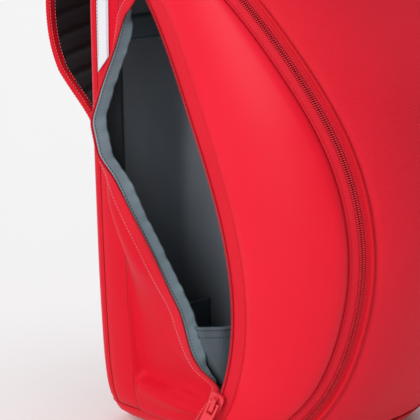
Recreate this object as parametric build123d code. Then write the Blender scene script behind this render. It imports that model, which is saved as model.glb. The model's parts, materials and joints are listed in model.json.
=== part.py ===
"""Racket tournament bag: a padded, free-standing bag with a racket compartment behind a door on each
side, a zipped ball pocket in the left door, shoulder straps on the back and a grab handle on top.

Millimetres. +X is the bag's right seen from the front, -Y is its front, +Z is up. The body is drawn
about the middle of its width, and everything is moved at the end so that the origin is the middle of
the finished bag's bounding box, on the surface that the bag stands on.
"""
import os
from math import atan2, cos, degrees, pi, sin, sqrt

from build123d import *

# Body. Each section is (height, half width, how far the front stands in front of Y = 0).
HEIGHT = 580.0
BACK_Y = 110.0
WAIST_Y = 30.0
WALL = 4.0
FRONT_POWER = 2.7
BACK_POWER = 6.0
SECTION_POINTS = 32
SECTIONS = (
    (0, 98, 95),
    (14, 122, 118),
    (45, 136, 140),
    (110, 142, 168),
    (200, 146, 186),
    (300, 149, 170),
    (400, 150, 118),
    (460, 148, 80),
    (520, 138, 42),
    (556, 118, 16),
    (574, 98, -4),
    (HEIGHT, 84, -14),
)

# Where the body divides into panels.
BASE_TOP = 22.0
TOP_BOTTOM = 508.0
HINGE_Y = 82.0
HINGE_X = 148.0
HINGE_GAP = 2.0
DOOR_BOTTOM = BASE_TOP + 1.0

# Zipper lines, drawn on a plane that faces the left front corner: (distance right of Z, height).
DOOR_LINE = ((-16, 14), (28, 62), (53, 127), (60, 190), (43, 277), (0, 353), (-38, 402), (-90, 450), (-178, 492))
POCKET_LINE = ((-76, 14), (-57, 62), (-47, 125), (-53, 197), (-86, 313), (-122, 404), (-150, 444), (-180, 472))
COIL = 2.7
COIL_GAP = 0.3
TAPE = 12.0
PIPING = 3.0
LINE_SAMPLES = 14

# Ball pocket.
MOUTH_TOP = (-150.0, 22.0, 402.0)
MOUTH_BOTTOM = (-133.0, -48.0, 62.0)
SEAM_X = 149.5
SEAM_Y = 50.0
# (height, how far the open edge stands off the line between the mouth's ends, how far the wall bows out)
MOUTH_SHAPE = ((75, 1, 5), (118, 8, 14), (121, 8, 14), (180, 27, 18), (254, 60, 10), (300, 54, 7), (350, 25, 4), (392, 4, 1))
LOWER_WALL_ROWS = 2
CLOTH = 3.0
HEM = 14.0
STRIP_GAP = 2.5
LINING_X = -58.0
LINING_BACK_Y = 56.0
LINING_FRONT = ((62, -56), (125, -68), (197, -65), (260, -46), (313, -25), (368, 0), (402, 16))
LINING_WALL = 2.5
POUCH_CENTRE = (-99.0, -8.0)
POUCH_RADIUS = 40.5
POUCH_TOP = 118.0
STRIPE_Y = (62.0, 77.0)
STRIPE_BOTTOM = 330.0

# Sliders: (distance right of Z, height) on the same plane as the zipper lines.
POCKET_SLIDER = (-58.0, 58.0)
DOOR_SLIDER = (-88.0, 449.0)
SLIDER_LENGTH = 19.0
SLIDER_WIDTH = 13.0
PULL_LENGTH = 38.0
PULL_WIDTH = 10.0
PIVOT_RISE = 4.8

# Back, straps and handle.
PAD = 11.0
PAD_EDGES = (14.0, 70.0)
PAD_HEIGHTS = (70.0, 452.0)
CLEAR = 0.4
STRAP_X = 86.0
STRAP_WIDTH = 64.0
STRAP_THICK = 9.0
STRAP_LINE = ((120, 500), (152, 474), (175, 434), (183, 385), (177, 340), (156, 304), (136, 275), (129, 246))
BINDING = 9.0
STRAP_END_WIDTH = 36.0
WEBBING = 25.0
WEBBING_THICK = 1.8
LOWER_ANCHOR_Z = 52.0
BUCKLE_Z = 232.0
HANDLE_Y = 62.0
HANDLE_HALF = 52.0
HANDLE_RISE = 36.0
HANDLE_WIDTH = 26.0
STUB_END = 0.10
LOW_BOARD = 9.0

nodes = {}


# ---------------------------------------------------------------- body
def signed_power(value, power):
    return (1 if value >= 0 else -1) * abs(value) ** power


def section(height, half_width, front, inset):
    points = []
    for step in range(SECTION_POINTS):
        angle = 2 * pi * step / SECTION_POINTS
        power = 2 / (FRONT_POWER if sin(angle) < 0 else BACK_POWER)
        depth = (front + WAIST_Y if sin(angle) < 0 else BACK_Y - WAIST_Y) - inset
        x = (half_width - inset) * signed_power(cos(angle), power)
        points.append((x, WAIST_Y + depth * signed_power(sin(angle), power), height))
    return Wire(Edge.make_spline([Vector(*p) for p in points], periodic=True))


def body(inset):
    squeeze = (HEIGHT - 2 * inset) / HEIGHT
    rings = [section(inset + z * squeeze, half, front, inset) for z, half, front in SECTIONS]
    return Part() + Solid.make_loft(rings)


def block(low, high):
    size = [b - a for a, b in zip(low, high)]
    middle = [(a + b) / 2 for a, b in zip(low, high)]
    return Pos(*middle) * Box(*size)


def slab(z_low, z_high):
    return block((-400, -400, z_low), (400, 400, z_high))


outer = body(0)
inner = body(WALL)
shell = outer - inner


# ---------------------------------------------------------------- zipper lines
CORNER = Plane(origin=(0, 0, 0), x_dir=(1, -1, 0), z_dir=(-1, -1, 0))
FAR = 400.0


def beside(line, distance):
    """The line moved sideways: positive is towards the middle of the bag's front."""
    points = []
    for step in range(LINE_SAMPLES + 1):
        spot = step / LINE_SAMPLES
        along = line % spot
        points.append(line @ spot + Vector(along.Y, -along.X) * distance)
    return Spline(*points)


def prism(*edges):
    return extrude(CORNER * make_face(Wire([e for part in edges for e in part.edges()])), FAR)


def between(line, low, high):
    """Everything behind the strip of the corner plane from low to high beside a line."""
    a = beside(line, low)
    b = beside(line, high)
    return prism(a, Line(a @ 1, b @ 1), b, Line(b @ 0, a @ 0))


def behind(line, distance):
    """Everything on the hinge side of a line."""
    a = beside(line, distance)
    corners = Polyline(a @ 1, (-FAR, (a @ 1).Y), (-FAR, (a @ 0).Y), a @ 0)
    return prism(a, corners)


door_line = Spline(*DOOR_LINE)
pocket_line = Spline(*POCKET_LINE)
door_box = block((-FAR, -FAR, DOOR_BOTTOM), (0, HINGE_Y - HINGE_GAP / 2, HEIGHT))
fixed_box = block((-FAR, -FAR, BASE_TOP), (0, HINGE_Y + HINGE_GAP, TOP_BOTTOM))
wall = shell & slab(BASE_TOP, TOP_BOTTOM)


def mirrored(shape):
    return mirror(shape, Plane.YZ)


# ---------------------------------------------------------------- fixed panels
def fixed_panels():
    nodes["base_panel"] = shell & slab(0, BASE_TOP)
    nodes["top_panel"] = shell & slab(TOP_BOTTOM, HEIGHT)
    nodes["back_panel"] = wall & block((-FAR, HINGE_Y + HINGE_GAP, 0), (FAR, FAR, HEIGHT))
    ahead = wall & block((-FAR, -FAR, 0), (FAR, HINGE_Y + HINGE_GAP, HEIGHT))
    opening = behind(door_line, TAPE + PIPING) & fixed_box
    nodes["front_panel"] = ahead - opening - mirrored(opening)
    strips = {
        "zipper_coil": (COIL_GAP, COIL),
        "zipper_tape": (COIL, TAPE),
        "door_piping": (TAPE, TAPE + PIPING),
    }
    for name, (low, high) in strips.items():
        strip = wall & (between(door_line, low, high) & fixed_box)
        nodes["left_" + name] = strip
        nodes["right_" + name] = mirrored(strip)


# ---------------------------------------------------------------- doors
def doors():
    door = wall & (behind(door_line, -COIL_GAP) & door_box)
    pillow = behind(door_line, -TAPE) - behind(pocket_line, TAPE)
    tape = behind(door_line, -COIL) - behind(door_line, -TAPE)
    coil = behind(door_line, -COIL_GAP) - behind(door_line, -COIL)
    nodes["left_door_pillow"] = door & pillow
    nodes["left_door_tape"] = door & tape
    nodes["left_door_coil"] = door & coil
    for part in ("pillow", "tape", "coil"):
        nodes["right_door_" + part] = mirrored(nodes["left_door_" + part])

    rear = door & behind(door_line, -TAPE)
    side = rear & behind(pocket_line, TAPE)
    stripe = block((-FAR, STRIPE_Y[0], STRIPE_BOTTOM), (0, STRIPE_Y[1], HEIGHT))
    slant = Pos(0, STRIPE_Y[0] - 4, STRIPE_BOTTOM) * Rot(45, 0, 0) * Box(2 * FAR, 26, 26)
    stripe = stripe - slant
    nodes["right_side_panel"] = mirrored(side - stripe)
    nodes["right_stripe"] = mirrored(side & stripe)

    band = rear & behind(pocket_line, -COIL_GAP)
    mouth = block((-FAR, -FAR, MOUTH_BOTTOM[2]), (0, SEAM_Y + 1.5, MOUTH_TOP[2]))
    nodes["left_side_band"] = band - mouth - stripe
    nodes["left_stripe"] = band & stripe
    pocket_side = (rear & behind(pocket_line, TAPE)) - behind(pocket_line, COIL_GAP)
    nodes["pocket_tape"] = pocket_side & between(pocket_line, COIL, TAPE + 1)
    nodes["pocket_coil"] = pocket_side - between(pocket_line, COIL, TAPE + 2)


# ---------------------------------------------------------------- ball pocket
def mouth_point(height, stand_off):
    share = (height - MOUTH_BOTTOM[2]) / (MOUTH_TOP[2] - MOUTH_BOTTOM[2])
    x, y = (a + (b - a) * share for a, b in zip(MOUTH_BOTTOM[:2], MOUTH_TOP[:2]))
    return Vector(x - stand_off / sqrt(2), y + stand_off / sqrt(2), height)


def wall_curve(height, stand_off, bow):
    """The pocket wall's middle line at one height, from its seam to its open edge."""
    seam = Vector(-SEAM_X + CLOTH / 2 + 0.5, SEAM_Y - 2, height)
    edge = mouth_point(height, stand_off)
    across = edge - seam
    outward = Vector(across.Y, -across.X, 0).normalized()
    return Bezier(seam, (seam + edge) * 0.5 + outward * 2 * bow, edge)


def wall_strip(rows, start, end, low, high):
    """A strip of the pocket wall: start and end are distances from its open edge, None is the seam."""
    rings = []
    for row in rows:
        curve = wall_curve(*row)
        t_start = 0.0 if start is None else 1 - start / curve.length
        points = [[], []]
        for step in range(5):
            t = t_start + (1 - end / curve.length - t_start) * step / 4
            side = curve % t
            normal = Vector(side.Y, -side.X, 0)
            points[0].append(curve @ t + normal * high)
            points[1].append(curve @ t + normal * low)
        a = Edge.make_spline(points[0])
        b = Edge.make_spline(points[1][::-1])
        rings.append(Wire([a, Edge.make_line(a @ 1, b @ 0), b, Edge.make_line(b @ 1, a @ 0)]))
    return Part() + Solid.make_loft(rings)


def pocket():
    half = CLOTH / 2
    lower = MOUTH_SHAPE[:LOWER_WALL_ROWS]
    upper = MOUTH_SHAPE[LOWER_WALL_ROWS:]
    slider_room = Pos(*corner_spot(*POCKET_SLIDER)[0]) * Box(44, 44, 76)
    nodes["pocket_lower_wall"] = wall_strip(lower, None, 0, -half, half) - slider_room
    nodes["pocket_flap"] = wall_strip(upper, None, TAPE + STRIP_GAP, -half, half)
    nodes["flap_tape"] = wall_strip(upper, TAPE, COIL + STRIP_GAP, -half, half)
    nodes["flap_coil"] = wall_strip(upper, COIL, 0, -half, half)
    nodes["flap_hem"] = wall_strip(upper, HEM, 1.0, -half - STRIP_GAP - 1.6, -half - STRIP_GAP)


def lining_prism(inset):
    front = Spline(*[(y + inset, z) for z, y in LINING_FRONT])
    top = (LINING_BACK_Y - inset, LINING_FRONT[-1][0] - inset)
    bottom = (LINING_BACK_Y - inset, LINING_FRONT[0][0] + inset)
    face = make_face(Wire([*front.edges(), *Polyline(front @ 1, top, bottom, front @ 0).edges()]))
    return Pos(LINING_X - inset, 0, 0) * extrude(Plane.YZ * face, -FAR)


def pocket_inside():
    nodes["pocket_lining"] = (lining_prism(0) & inner) - lining_prism(LINING_WALL)
    floor = LINING_FRONT[0][0] + LINING_WALL
    rise = POUCH_TOP - floor
    centre = Pos(POUCH_CENTRE[0], POUCH_CENTRE[1], floor + rise / 2)
    ring = centre * (Cylinder(POUCH_RADIUS, rise) - Cylinder(POUCH_RADIUS - 2, rise))
    near = block((-FAR, -FAR, 0), (POUCH_CENTRE[0] + 18, FAR, HEIGHT))
    inside = body(WALL + 1)
    nodes["ball_can_pouch"] = ring & near & inside & lining_prism(LINING_WALL)


# ---------------------------------------------------------------- inside the compartments
def stiffeners():
    core = body(WALL + 0.5)
    tall = slab(LOW_BOARD + 4, 500)
    nodes["base_board"] = core & slab(WALL + 0.5, LOW_BOARD)
    nodes["centre_divider"] = core & tall & block((-3, -FAR, 0), (3, BACK_Y - 12, HEIGHT))
    nodes["back_frame_sheet"] = core & tall & block((-118, BACK_Y - 9, 0), (118, BACK_Y - 6, HEIGHT))


# ---------------------------------------------------------------- sliders and pulls
def corner_spot(across, height):
    """Where a point of the corner plane falls on the body, with the outward normal there."""
    start = CORNER.from_local_coords(Vector(across, height, 300))
    hits = outer.find_intersection_points(Axis(start, Vector(1, 1, 0)))
    return min(hits, key=lambda hit: (hit[0] - start).length)


def slider_plane(line, across, height):
    """A plane on the zipper: X runs up along the teeth and Z points away from the bag."""
    spot, normal = corner_spot(across, height)
    nearest = min((step / 200 for step in range(201)), key=lambda t: (line @ t - Vector(across, height)).length)
    along = line % nearest
    other = corner_spot(across + along.X, height + along.Y)[0]
    return Plane(origin=spot, x_dir=(other - spot).normalized(), z_dir=normal)


def slider():
    base = Pos(0, 0, 1.8) * Box(SLIDER_LENGTH, SLIDER_WIDTH, 2.4)
    base = fillet(base.edges().filter_by(Axis.Z), 4)
    bridge = Pos(0, 0, 5.4) * Box(14, 3.6, 5.2) - Pos(0, 0, 4.7) * Box(10, 4, 3.6)
    return base + bridge


def pull(plane):
    hang = max(0.0, degrees(atan2(-plane.z_dir.Z, plane.x_dir.Z)))
    rod = Rot(90, 0, 0) * Cylinder(1.1, PULL_WIDTH)
    loop = Pos(-5.5, 0, 0) * Box(13, PULL_WIDTH, 2) - Pos(-4.9, 0, 0) * Box(12, 6, 3)
    loop = loop & block((-12, -9, -9), (0, 9, 9))
    tab = Pos(-11.5 - PULL_LENGTH / 2, 0, 0) * Box(PULL_LENGTH, PULL_WIDTH, 2.4)
    tab = fillet(tab.edges().filter_by(Axis.Z), 2)
    return plane * Pos(0, 0, PIVOT_RISE) * Rot(0, hang, 0) * (rod + loop + tab)


def sliders():
    places = {
        "pocket": slider_plane(pocket_line, *POCKET_SLIDER),
        "left_door": slider_plane(door_line, *DOOR_SLIDER),
    }
    for name, plane in places.items():
        nodes[name + "_slider"] = plane * slider()
        nodes[name + "_pull"] = pull(plane)
        print(name, "slider at", plane.origin, "along", plane.x_dir, "out", plane.z_dir)
    for part in ("slider", "pull"):
        nodes["right_door_" + part] = mirrored(nodes["left_door_" + part])


# ---------------------------------------------------------------- back pads, straps and handle
def rounded_pad(x_low, x_high, z_low, z_high):
    pad = block((x_low, BACK_Y + CLEAR, z_low), (x_high, BACK_Y + PAD, z_high))
    pad = fillet(pad.edges().filter_by(Axis.Y), 22)
    return fillet(pad.faces().sort_by(Axis.Y)[-1].edges(), 6)


def strap_profile(low, high):
    middle = Spline(*STRAP_LINE)
    sides = []
    for rise in (low, high):
        points = []
        for step in range(LINE_SAMPLES + 1):
            along = middle % (step / LINE_SAMPLES)
            points.append(middle @ (step / LINE_SAMPLES) + Vector(-along.Y, along.X) * rise)
        sides.append(Spline(*points))
    a, b = sides
    face = make_face(Wire([*a.edges(), *Line(a @ 1, b @ 1).edges(), *b.edges(), *Line(b @ 0, a @ 0).edges()]))
    return Plane.YZ * face


def strap_outline(trim):
    """The strap seen from behind: full width, then narrowing to its buckle."""
    half = STRAP_WIDTH / 2 - trim
    end = STRAP_END_WIDTH / 2 - trim
    top = STRAP_LINE[0][1] + 30
    tip = STRAP_LINE[-1][1] - 20
    points = [(-half, top), (-half, 320), (-end, 262), (-end, tip), (end, tip), (end, 262), (half, 320), (half, top)]
    face = make_face(Polyline(*points, close=True))
    return Pos(-STRAP_X, FAR, 0) * extrude(Plane.XZ * face, 2 * FAR, both=True)


def straps():
    band = Pos(-STRAP_X, 0, 0) * extrude(strap_profile(-STRAP_THICK / 2, STRAP_THICK / 2), STRAP_WIDTH / 2, both=True)
    band = band & strap_outline(0)
    padding = band & strap_outline(BINDING)
    left = {
        "strap_padding": padding,
        "strap_binding": band - strap_outline(BINDING),
        "ladder_lock": ladder_lock(),
        "strap_webbing": webbing(),
        "webbing_tail": block((-STRAP_X - WEBBING / 2, 131.5, 132), (-STRAP_X + WEBBING / 2, 133.3, 226)),
        "lower_anchor": block((-STRAP_X - 17, BACK_Y + CLEAR, 30), (-STRAP_X + 17, BACK_Y + 4, 48)),
        "upper_anchor": block((-STRAP_X - 30, BACK_Y + CLEAR, 506), (-STRAP_X + 30, BACK_Y + 7, 530)),
    }
    for name, shape in left.items():
        nodes["left_" + name] = shape
        nodes["right_" + name] = mirrored(shape)


def ladder_lock():
    frame = Pos(-STRAP_X, 129, BUCKLE_Z) * Box(34, 5, 26)
    frame = fillet(frame.edges().filter_by(Axis.Y), 4)
    for rise in (-5.5, 5.5):
        frame = frame - Pos(-STRAP_X, 129, BUCKLE_Z + rise) * Box(26.5, 8, 6)
    return frame


def webbing():
    low = Vector(0, BACK_Y + 5.5, LOWER_ANCHOR_Z)
    high = Vector(0, 124.5, BUCKLE_Z + 10)
    lean = degrees(atan2(low.Y - high.Y, high.Z - low.Z))
    strip = Box(WEBBING, WEBBING_THICK, (high - low).length)
    return Pos(-STRAP_X, (low.Y + high.Y) / 2, (low.Z + high.Z) / 2) * Rot(lean, 0, 0) * strip


def back_pads():
    near, far = PAD_EDGES
    nodes["left_back_pad"] = rounded_pad(-far, -near, *PAD_HEIGHTS)
    nodes["right_back_pad"] = rounded_pad(near, far, *PAD_HEIGHTS)


def handle():
    feet = HEIGHT + 3.5
    arch = ThreePointArc((-HANDLE_HALF, feet), (0, feet + HANDLE_RISE), (HANDLE_HALF, feet))

    def band(low, high, width, start, end):
        spots = (start, (start + end) / 2, end)
        a = ThreePointArc(*[arch_point(arch, t, low) for t in spots])
        b = ThreePointArc(*[arch_point(arch, t, high) for t in spots])
        face = make_face(Wire([*a.edges(), *Line(a @ 1, b @ 1).edges(), *b.edges(), *Line(b @ 0, a @ 0).edges()]))
        return Pos(0, HANDLE_Y, 0) * extrude(Plane.XZ * face, width / 2, both=True)

    nodes["handle_webbing"] = band(-1, 1, HANDLE_WIDTH, STUB_END + 0.03, 1 - STUB_END - 0.03)
    grip = band(-5, 5, HANDLE_WIDTH + 4, 0.27, 0.73)
    nodes["handle_grip"] = grip - nodes["handle_webbing"]
    foot = Pos(-HANDLE_HALF - 6, HANDLE_Y, HEIGHT + 1.6) * Box(28, HANDLE_WIDTH + 6, 2.4)
    nodes["left_handle_anchor"] = foot + band(-1, 1, HANDLE_WIDTH, 0, STUB_END)
    nodes["right_handle_anchor"] = mirrored(nodes["left_handle_anchor"])


def arch_point(arch, t, rise):
    along = arch % t
    return arch @ t + Vector(-along.Y, along.X) * rise


# ---------------------------------------------------------------- build
fixed_panels()
doors()
pocket()
pocket_inside()
stiffeners()
sliders()
back_pads()
straps()
handle()

bounds = Compound(children=[Compound(list(shape.solids())) for shape in nodes.values()]).bounding_box()
home = Pos(-bounds.center().X, -bounds.center().Y, -bounds.min.Z)
print("moved by", home.position)
os.makedirs("parts", exist_ok=True)
for name, shape in nodes.items():
    export_step(home * shape, os.path.join("parts", name + ".step"))
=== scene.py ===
import json
import math

import bmesh
import bpy
import numpy as np
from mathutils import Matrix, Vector, noise


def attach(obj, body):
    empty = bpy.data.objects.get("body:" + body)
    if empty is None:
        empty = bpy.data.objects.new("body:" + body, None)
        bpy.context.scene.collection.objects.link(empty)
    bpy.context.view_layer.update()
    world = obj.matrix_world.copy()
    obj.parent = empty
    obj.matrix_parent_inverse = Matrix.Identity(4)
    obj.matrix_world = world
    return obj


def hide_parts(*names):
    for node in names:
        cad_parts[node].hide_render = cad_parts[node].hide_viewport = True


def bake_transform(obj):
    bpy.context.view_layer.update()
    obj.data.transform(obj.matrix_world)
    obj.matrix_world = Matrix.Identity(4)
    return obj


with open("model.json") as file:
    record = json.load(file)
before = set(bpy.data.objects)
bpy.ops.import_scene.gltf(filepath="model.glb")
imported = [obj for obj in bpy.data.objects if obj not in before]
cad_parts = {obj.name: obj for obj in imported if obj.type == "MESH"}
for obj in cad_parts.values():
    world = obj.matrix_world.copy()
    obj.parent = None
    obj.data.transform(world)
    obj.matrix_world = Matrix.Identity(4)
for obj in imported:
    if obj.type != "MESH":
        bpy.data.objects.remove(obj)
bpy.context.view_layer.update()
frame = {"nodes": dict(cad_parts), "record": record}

joints = {joint["name"]: joint for joint in frame["record"]["behaviour"]["joints"]}

# The door hinge's place in the drawing, which gives the drawing's place in the frame.
HINGE = np.array([-148.0, 82.0, 250.0])
SHIFT = np.array(joints["left_door_hinge"]["pos_m"]) * 1000 - HINGE

# ---------------------------------------------------------------- the body's shape, as in the CAD model
HEIGHT = 580.0
BACK_Y = 110.0
WAIST_Y = 30.0
WALL = 4.0
FRONT_POWER = 2.7
BACK_POWER = 6.0
# (height, half width, how far the front stands ahead of Y = 0)
SECTIONS = np.array([
    (0, 98, 95), (14, 122, 118), (45, 136, 140), (110, 142, 168), (200, 146, 186), (300, 149, 170),
    (400, 150, 118), (460, 148, 80), (520, 138, 42), (556, 118, 16), (574, 98, -4), (HEIGHT, 84, -14),
], dtype=float)
BASE_TOP = 22.0
TOP_BOTTOM = 508.0
# The zippers of the left door: (distance across the corner plane, height)
DOOR_LINE = (
    (-16, 14), (28, 62), (53, 127), (60, 190), (43, 277), (0, 353), (-38, 402), (-90, 450), (-178, 492),
)
POCKET_LINE = (
    (-76, 14), (-57, 62), (-47, 125), (-53, 197), (-86, 313), (-122, 404), (-150, 444), (-180, 472),
)
SEAM_Y = 50.0
TAPE = 12.0
FIXED_TAPE = 8.6
STRIPE_Y = (62.0, 77.0)
STRIPE_BOTTOM = 330.0
STRIPE_TOP = 452.0
HEM = 14.0
LINING_X = -58.0
LINING_BACK_Y = 56.0
LINING_LOW = 63.0
LINING_HIGH = 402.0
# (height, Y) of the pocket lining's front wall
LINING_FRONT = ((62, -56), (125, -68), (197, -65), (260, -46), (313, -25), (368, 0), (402, 16))
POUCH_CENTRE = (-99.0, -8.0)
POUCH_RADIUS = 40.5
POUCH_TOP = 118.0
BAND_LOW = 358.0
BAND_HIGH = 380.0
PAD = 11.0
PAD_EDGES = (14.0, 70.0)
PAD_HEIGHTS = (70.0, 452.0)
PAD_RIBS = 42.0
CLEAR = 0.4
STRAP_X = 86.0
STRAP_WIDTH = 64.0
STRAP_THICK = 9.0
# (Y, height) of a shoulder strap's middle
STRAP_LINE = ((120, 500), (152, 474), (175, 434), (183, 385), (177, 340), (156, 304), (136, 275), (129, 246))
STRAP_END_WIDTH = 36.0
BINDING = 9.0
RIB_PITCH = 20.0
WEBBING = 25.0
WEBBING_THICK = 1.8
LOWER_ANCHOR_Z = 52.0
BUCKLE_Z = 232.0
HANDLE_Y = 62.0
HANDLE_HALF = 52.0
HANDLE_RISE = 36.0
HANDLE_WIDTH = 26.0
STUB_END = 0.10
CAMERA_AZIMUTH = -45.0
CAMERA_ELEVATION = 13.0
CAMERA_DISTANCE = 1600.0
PIXELS_PER_MM = 1.10
LOOK_LEFT = 64.0
LOOK_HEIGHT = 196.0
ROOT_HALF = math.sqrt(0.5)
DOOR_BOTTOM = BASE_TOP + 1.0
HINGE_Y = 82.0
HINGE_ACROSS = -160.5
FIXED_END = -162.0
TAPE_GAP = 0.9
TOOTH_PLACE = 1.25
PILLOW_CROWN = 7.5
BACK_EDGE_Y = 84.0
COVER_THICK = WALL - 0.4
TOOTH_PITCH = 1.9
TOOTH_WIDTH = 2.9
# (length, width, height) of one stitch
THIN_STITCH = (2.0, 0.6, 0.35)
STRAP_STITCH = (2.0, 0.6, 0.4)
BAND_STITCH = (2.5, 0.7, 0.4)
FLAP_STITCH = (1.9, 0.9, 0.45)
PATCH_STITCH = (2.8, 0.8, 0.5)
GRIP_STITCH = (2.7, 0.8, 0.5)
FOOT_STITCH = (2.5, 0.8, 0.5)
CORD_SIDES = 10
LINER_THICK = 1.2
HANDLE_THICK = 2.4
PILLOW_TOP = 480.0
PLEAT_FOOT = 40.0
PLEAT_DEPTH = 1.3
CREASE_DEPTH = 5.6
FOLD_DEPTH = 8.5
FOLD_RIDGE = 3.0
CURL_DEPTH = 1.2
PHOTO_SIZE = 420
SENSOR = 36.0
FULL_TURN = 2 * math.pi
ACROSS_BAG = np.array([1.0, 0.0, 0.0])
TO_BACK = np.array([0.0, 1.0, 0.0])
UPWARDS = np.array([0.0, 0.0, 1.0])


def smooth_through(knots, values):
    """A curve through the knots that never overshoots them."""
    x, y = np.asarray(knots, float), np.asarray(values, float)
    step = np.diff(x)
    slope = np.diff(y) / step
    tangent = np.zeros_like(y)
    same = slope[1:] * slope[:-1] > 0
    inner = np.zeros(len(x) - 2)
    heavy, light = 2 * step[1:] + step[:-1], step[1:] + 2 * step[:-1]
    inner[same] = ((heavy + light)[same]) / (heavy[same] / slope[:-1][same] + light[same] / slope[1:][same])
    tangent[1:-1] = inner
    tangent[0], tangent[-1] = slope[0], slope[-1]

    def at(q):
        q = np.clip(np.asarray(q, float), x[0], x[-1])
        k = np.clip(np.searchsorted(x, q) - 1, 0, len(x) - 2)
        t = (q - x[k]) / step[k]
        return (
            y[k] * (1 + 2 * t) * (1 - t) ** 2
            + tangent[k] * step[k] * t * (1 - t) ** 2
            + y[k + 1] * t * t * (3 - 2 * t)
            + tangent[k + 1] * step[k] * t * t * (t - 1)
        )

    return at


lining_front = smooth_through([z for z, _ in LINING_FRONT], [y for _, y in LINING_FRONT])
half_width = smooth_through(SECTIONS[:, 0], SECTIONS[:, 1])
front_depth = smooth_through(SECTIONS[:, 0], SECTIONS[:, 2])


def signed_power(value, power):
    return np.sign(value) * np.abs(value) ** power


def unit(vectors):
    return vectors / np.maximum(np.linalg.norm(vectors, axis=-1, keepdims=True), 1e-9)


def power_and_depth(ahead, z):
    """The section's power and depth: those of its front half where ahead is true, else of its back half."""
    power = np.where(ahead, FRONT_POWER, BACK_POWER)
    return power, np.where(ahead, front_depth(z) + WAIST_Y, BACK_Y - WAIST_Y)


def section_point(angle, z):
    """A point of the body: angle 0 is the right side, 90 degrees the back, 270 the front."""
    angle, z = np.broadcast_arrays(np.asarray(angle, float), np.asarray(z, float))
    cos, sin = np.cos(angle), np.sin(angle)
    power, depth = power_and_depth(sin < 0, z)
    x = half_width(z) * signed_power(cos, 2 / power)
    return np.stack([x, WAIST_Y + depth * signed_power(sin, 2 / power), z], -1)


def level(points):
    """Negative inside the body and positive outside it."""
    x, y, z = points[..., 0], points[..., 1], points[..., 2]
    power, depth = power_and_depth(y < WAIST_Y, z)
    return np.abs(x / half_width(z)) ** power + np.abs((y - WAIST_Y) / depth) ** power - 1


def normals(points):
    """Outward directions of the body's surface at points on it."""
    step = 0.5
    grad = [level(points + step * axis) - level(points - step * axis) for axis in np.eye(3)]
    return unit(np.stack(grad, -1))


def angle_at(points):
    """The section angle of points on the body."""
    x, y, z = points[..., 0], points[..., 1], points[..., 2]
    power, depth = power_and_depth(y < WAIST_Y, z)
    cos = signed_power(np.clip(x / half_width(z), -1, 1), power / 2)
    sin = signed_power(np.clip((y - WAIST_Y) / depth, -1, 1), power / 2)
    return np.arctan2(sin, cos) % FULL_TURN


def corner_point(across, z):
    """The body's point on a line that comes straight at its left front corner."""
    across, z = np.broadcast_arrays(np.asarray(across, float), np.asarray(z, float))
    near, far = np.where(across < -120, 44.0, 30.0), np.full(across.shape, 400.0)
    halvings = 40
    for _ in range(halvings):
        middle = (near + far) / 2
        outside = level(corner_to_world(across, z, middle)) > 0
        far = np.where(outside, middle, far)
        near = np.where(outside, near, middle)
    return corner_to_world(across, z, near)


def corner_to_world(across, z, out):
    return np.stack([(across - out) * ROOT_HALF, -(across + out) * ROOT_HALF, z], -1)


def curve_through(points, count):
    """Evenly spaced points along a smooth curve through the given ones, and its directions."""
    pts = np.asarray(points, float)
    chord = lengths_along(pts)
    n = len(pts)
    step = np.diff(chord)
    system = np.eye(n)
    right = np.zeros_like(pts)
    for k in range(1, n - 1):
        system[k, k - 1:k + 2] = step[k - 1], 2 * (step[k - 1] + step[k]), step[k]
        right[k] = 6 * ((pts[k + 1] - pts[k]) / step[k] - (pts[k] - pts[k - 1]) / step[k - 1])
    bend = np.linalg.solve(system, right)
    q = np.linspace(0, chord[-1], 40 * n)
    k = np.clip(np.searchsorted(chord, q) - 1, 0, n - 2)
    h = step[k][:, None]
    a = (chord[k + 1] - q)[:, None] / h
    b = (q - chord[k])[:, None] / h
    dense = a * pts[k] + b * pts[k + 1] + ((a**3 - a) * bend[k] + (b**3 - b) * bend[k + 1]) * h * h / 6
    return resample(dense, count)


def lengths_along(path):
    """How far along a path each of its points is."""
    return np.concatenate([[0], np.cumsum(np.linalg.norm(np.diff(path, axis=0), axis=1))])


def path_length(path):
    return np.linalg.norm(np.diff(path, axis=0), axis=1).sum()


def resample(dense, count):
    """The same path with evenly spaced points."""
    along = lengths_along(dense)
    q = np.linspace(0, along[-1], count)
    return np.stack([np.interp(q, along, dense[:, k]) for k in range(dense.shape[1])], -1)


def directions(points):
    return unit(np.gradient(points, axis=0))


def beside(line, distance, count):
    """A zipper line on the corner plane, moved sideways: positive is towards the middle of the front."""
    points = curve_through(line, count)
    along = directions(points)
    return points + np.stack([along[:, 1], -along[:, 0]], -1) * distance


# ---------------------------------------------------------------- meshes
def to_frame(points):
    return (np.asarray(points, float) + SHIFT) / 1000


def make_mesh(name, points, faces, uvs):
    """A smooth mesh in the frame, from points in millimetres and cloth coordinates in metres."""
    mesh = bpy.data.meshes.new(name)
    mesh.from_pydata(to_frame(points).tolist(), [], [list(f) for f in faces])
    layer = mesh.uv_layers.new(name="cloth")
    order = np.empty(len(mesh.loops), dtype=np.int32)
    mesh.loops.foreach_get("vertex_index", order)
    layer.data.foreach_set("uv", uvs[order].astype(np.float32).ravel())
    mesh.polygons.foreach_set("use_smooth", [True] * len(mesh.polygons))
    mesh.update()
    obj = bpy.data.objects.new(name, mesh)
    bpy.context.scene.collection.objects.link(obj)
    return obj


def grid_faces(rows, columns, wrap=False):
    """The faces of a grid of points. wrap joins the last column to the first."""
    faces = []
    for r in range(rows - 1):
        for c in range(columns if wrap else columns - 1):
            d = (c + 1) % columns
            low, high = r * columns, (r + 1) * columns
            faces.append((low + c, low + d, high + d, high + c))
    return faces


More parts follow.
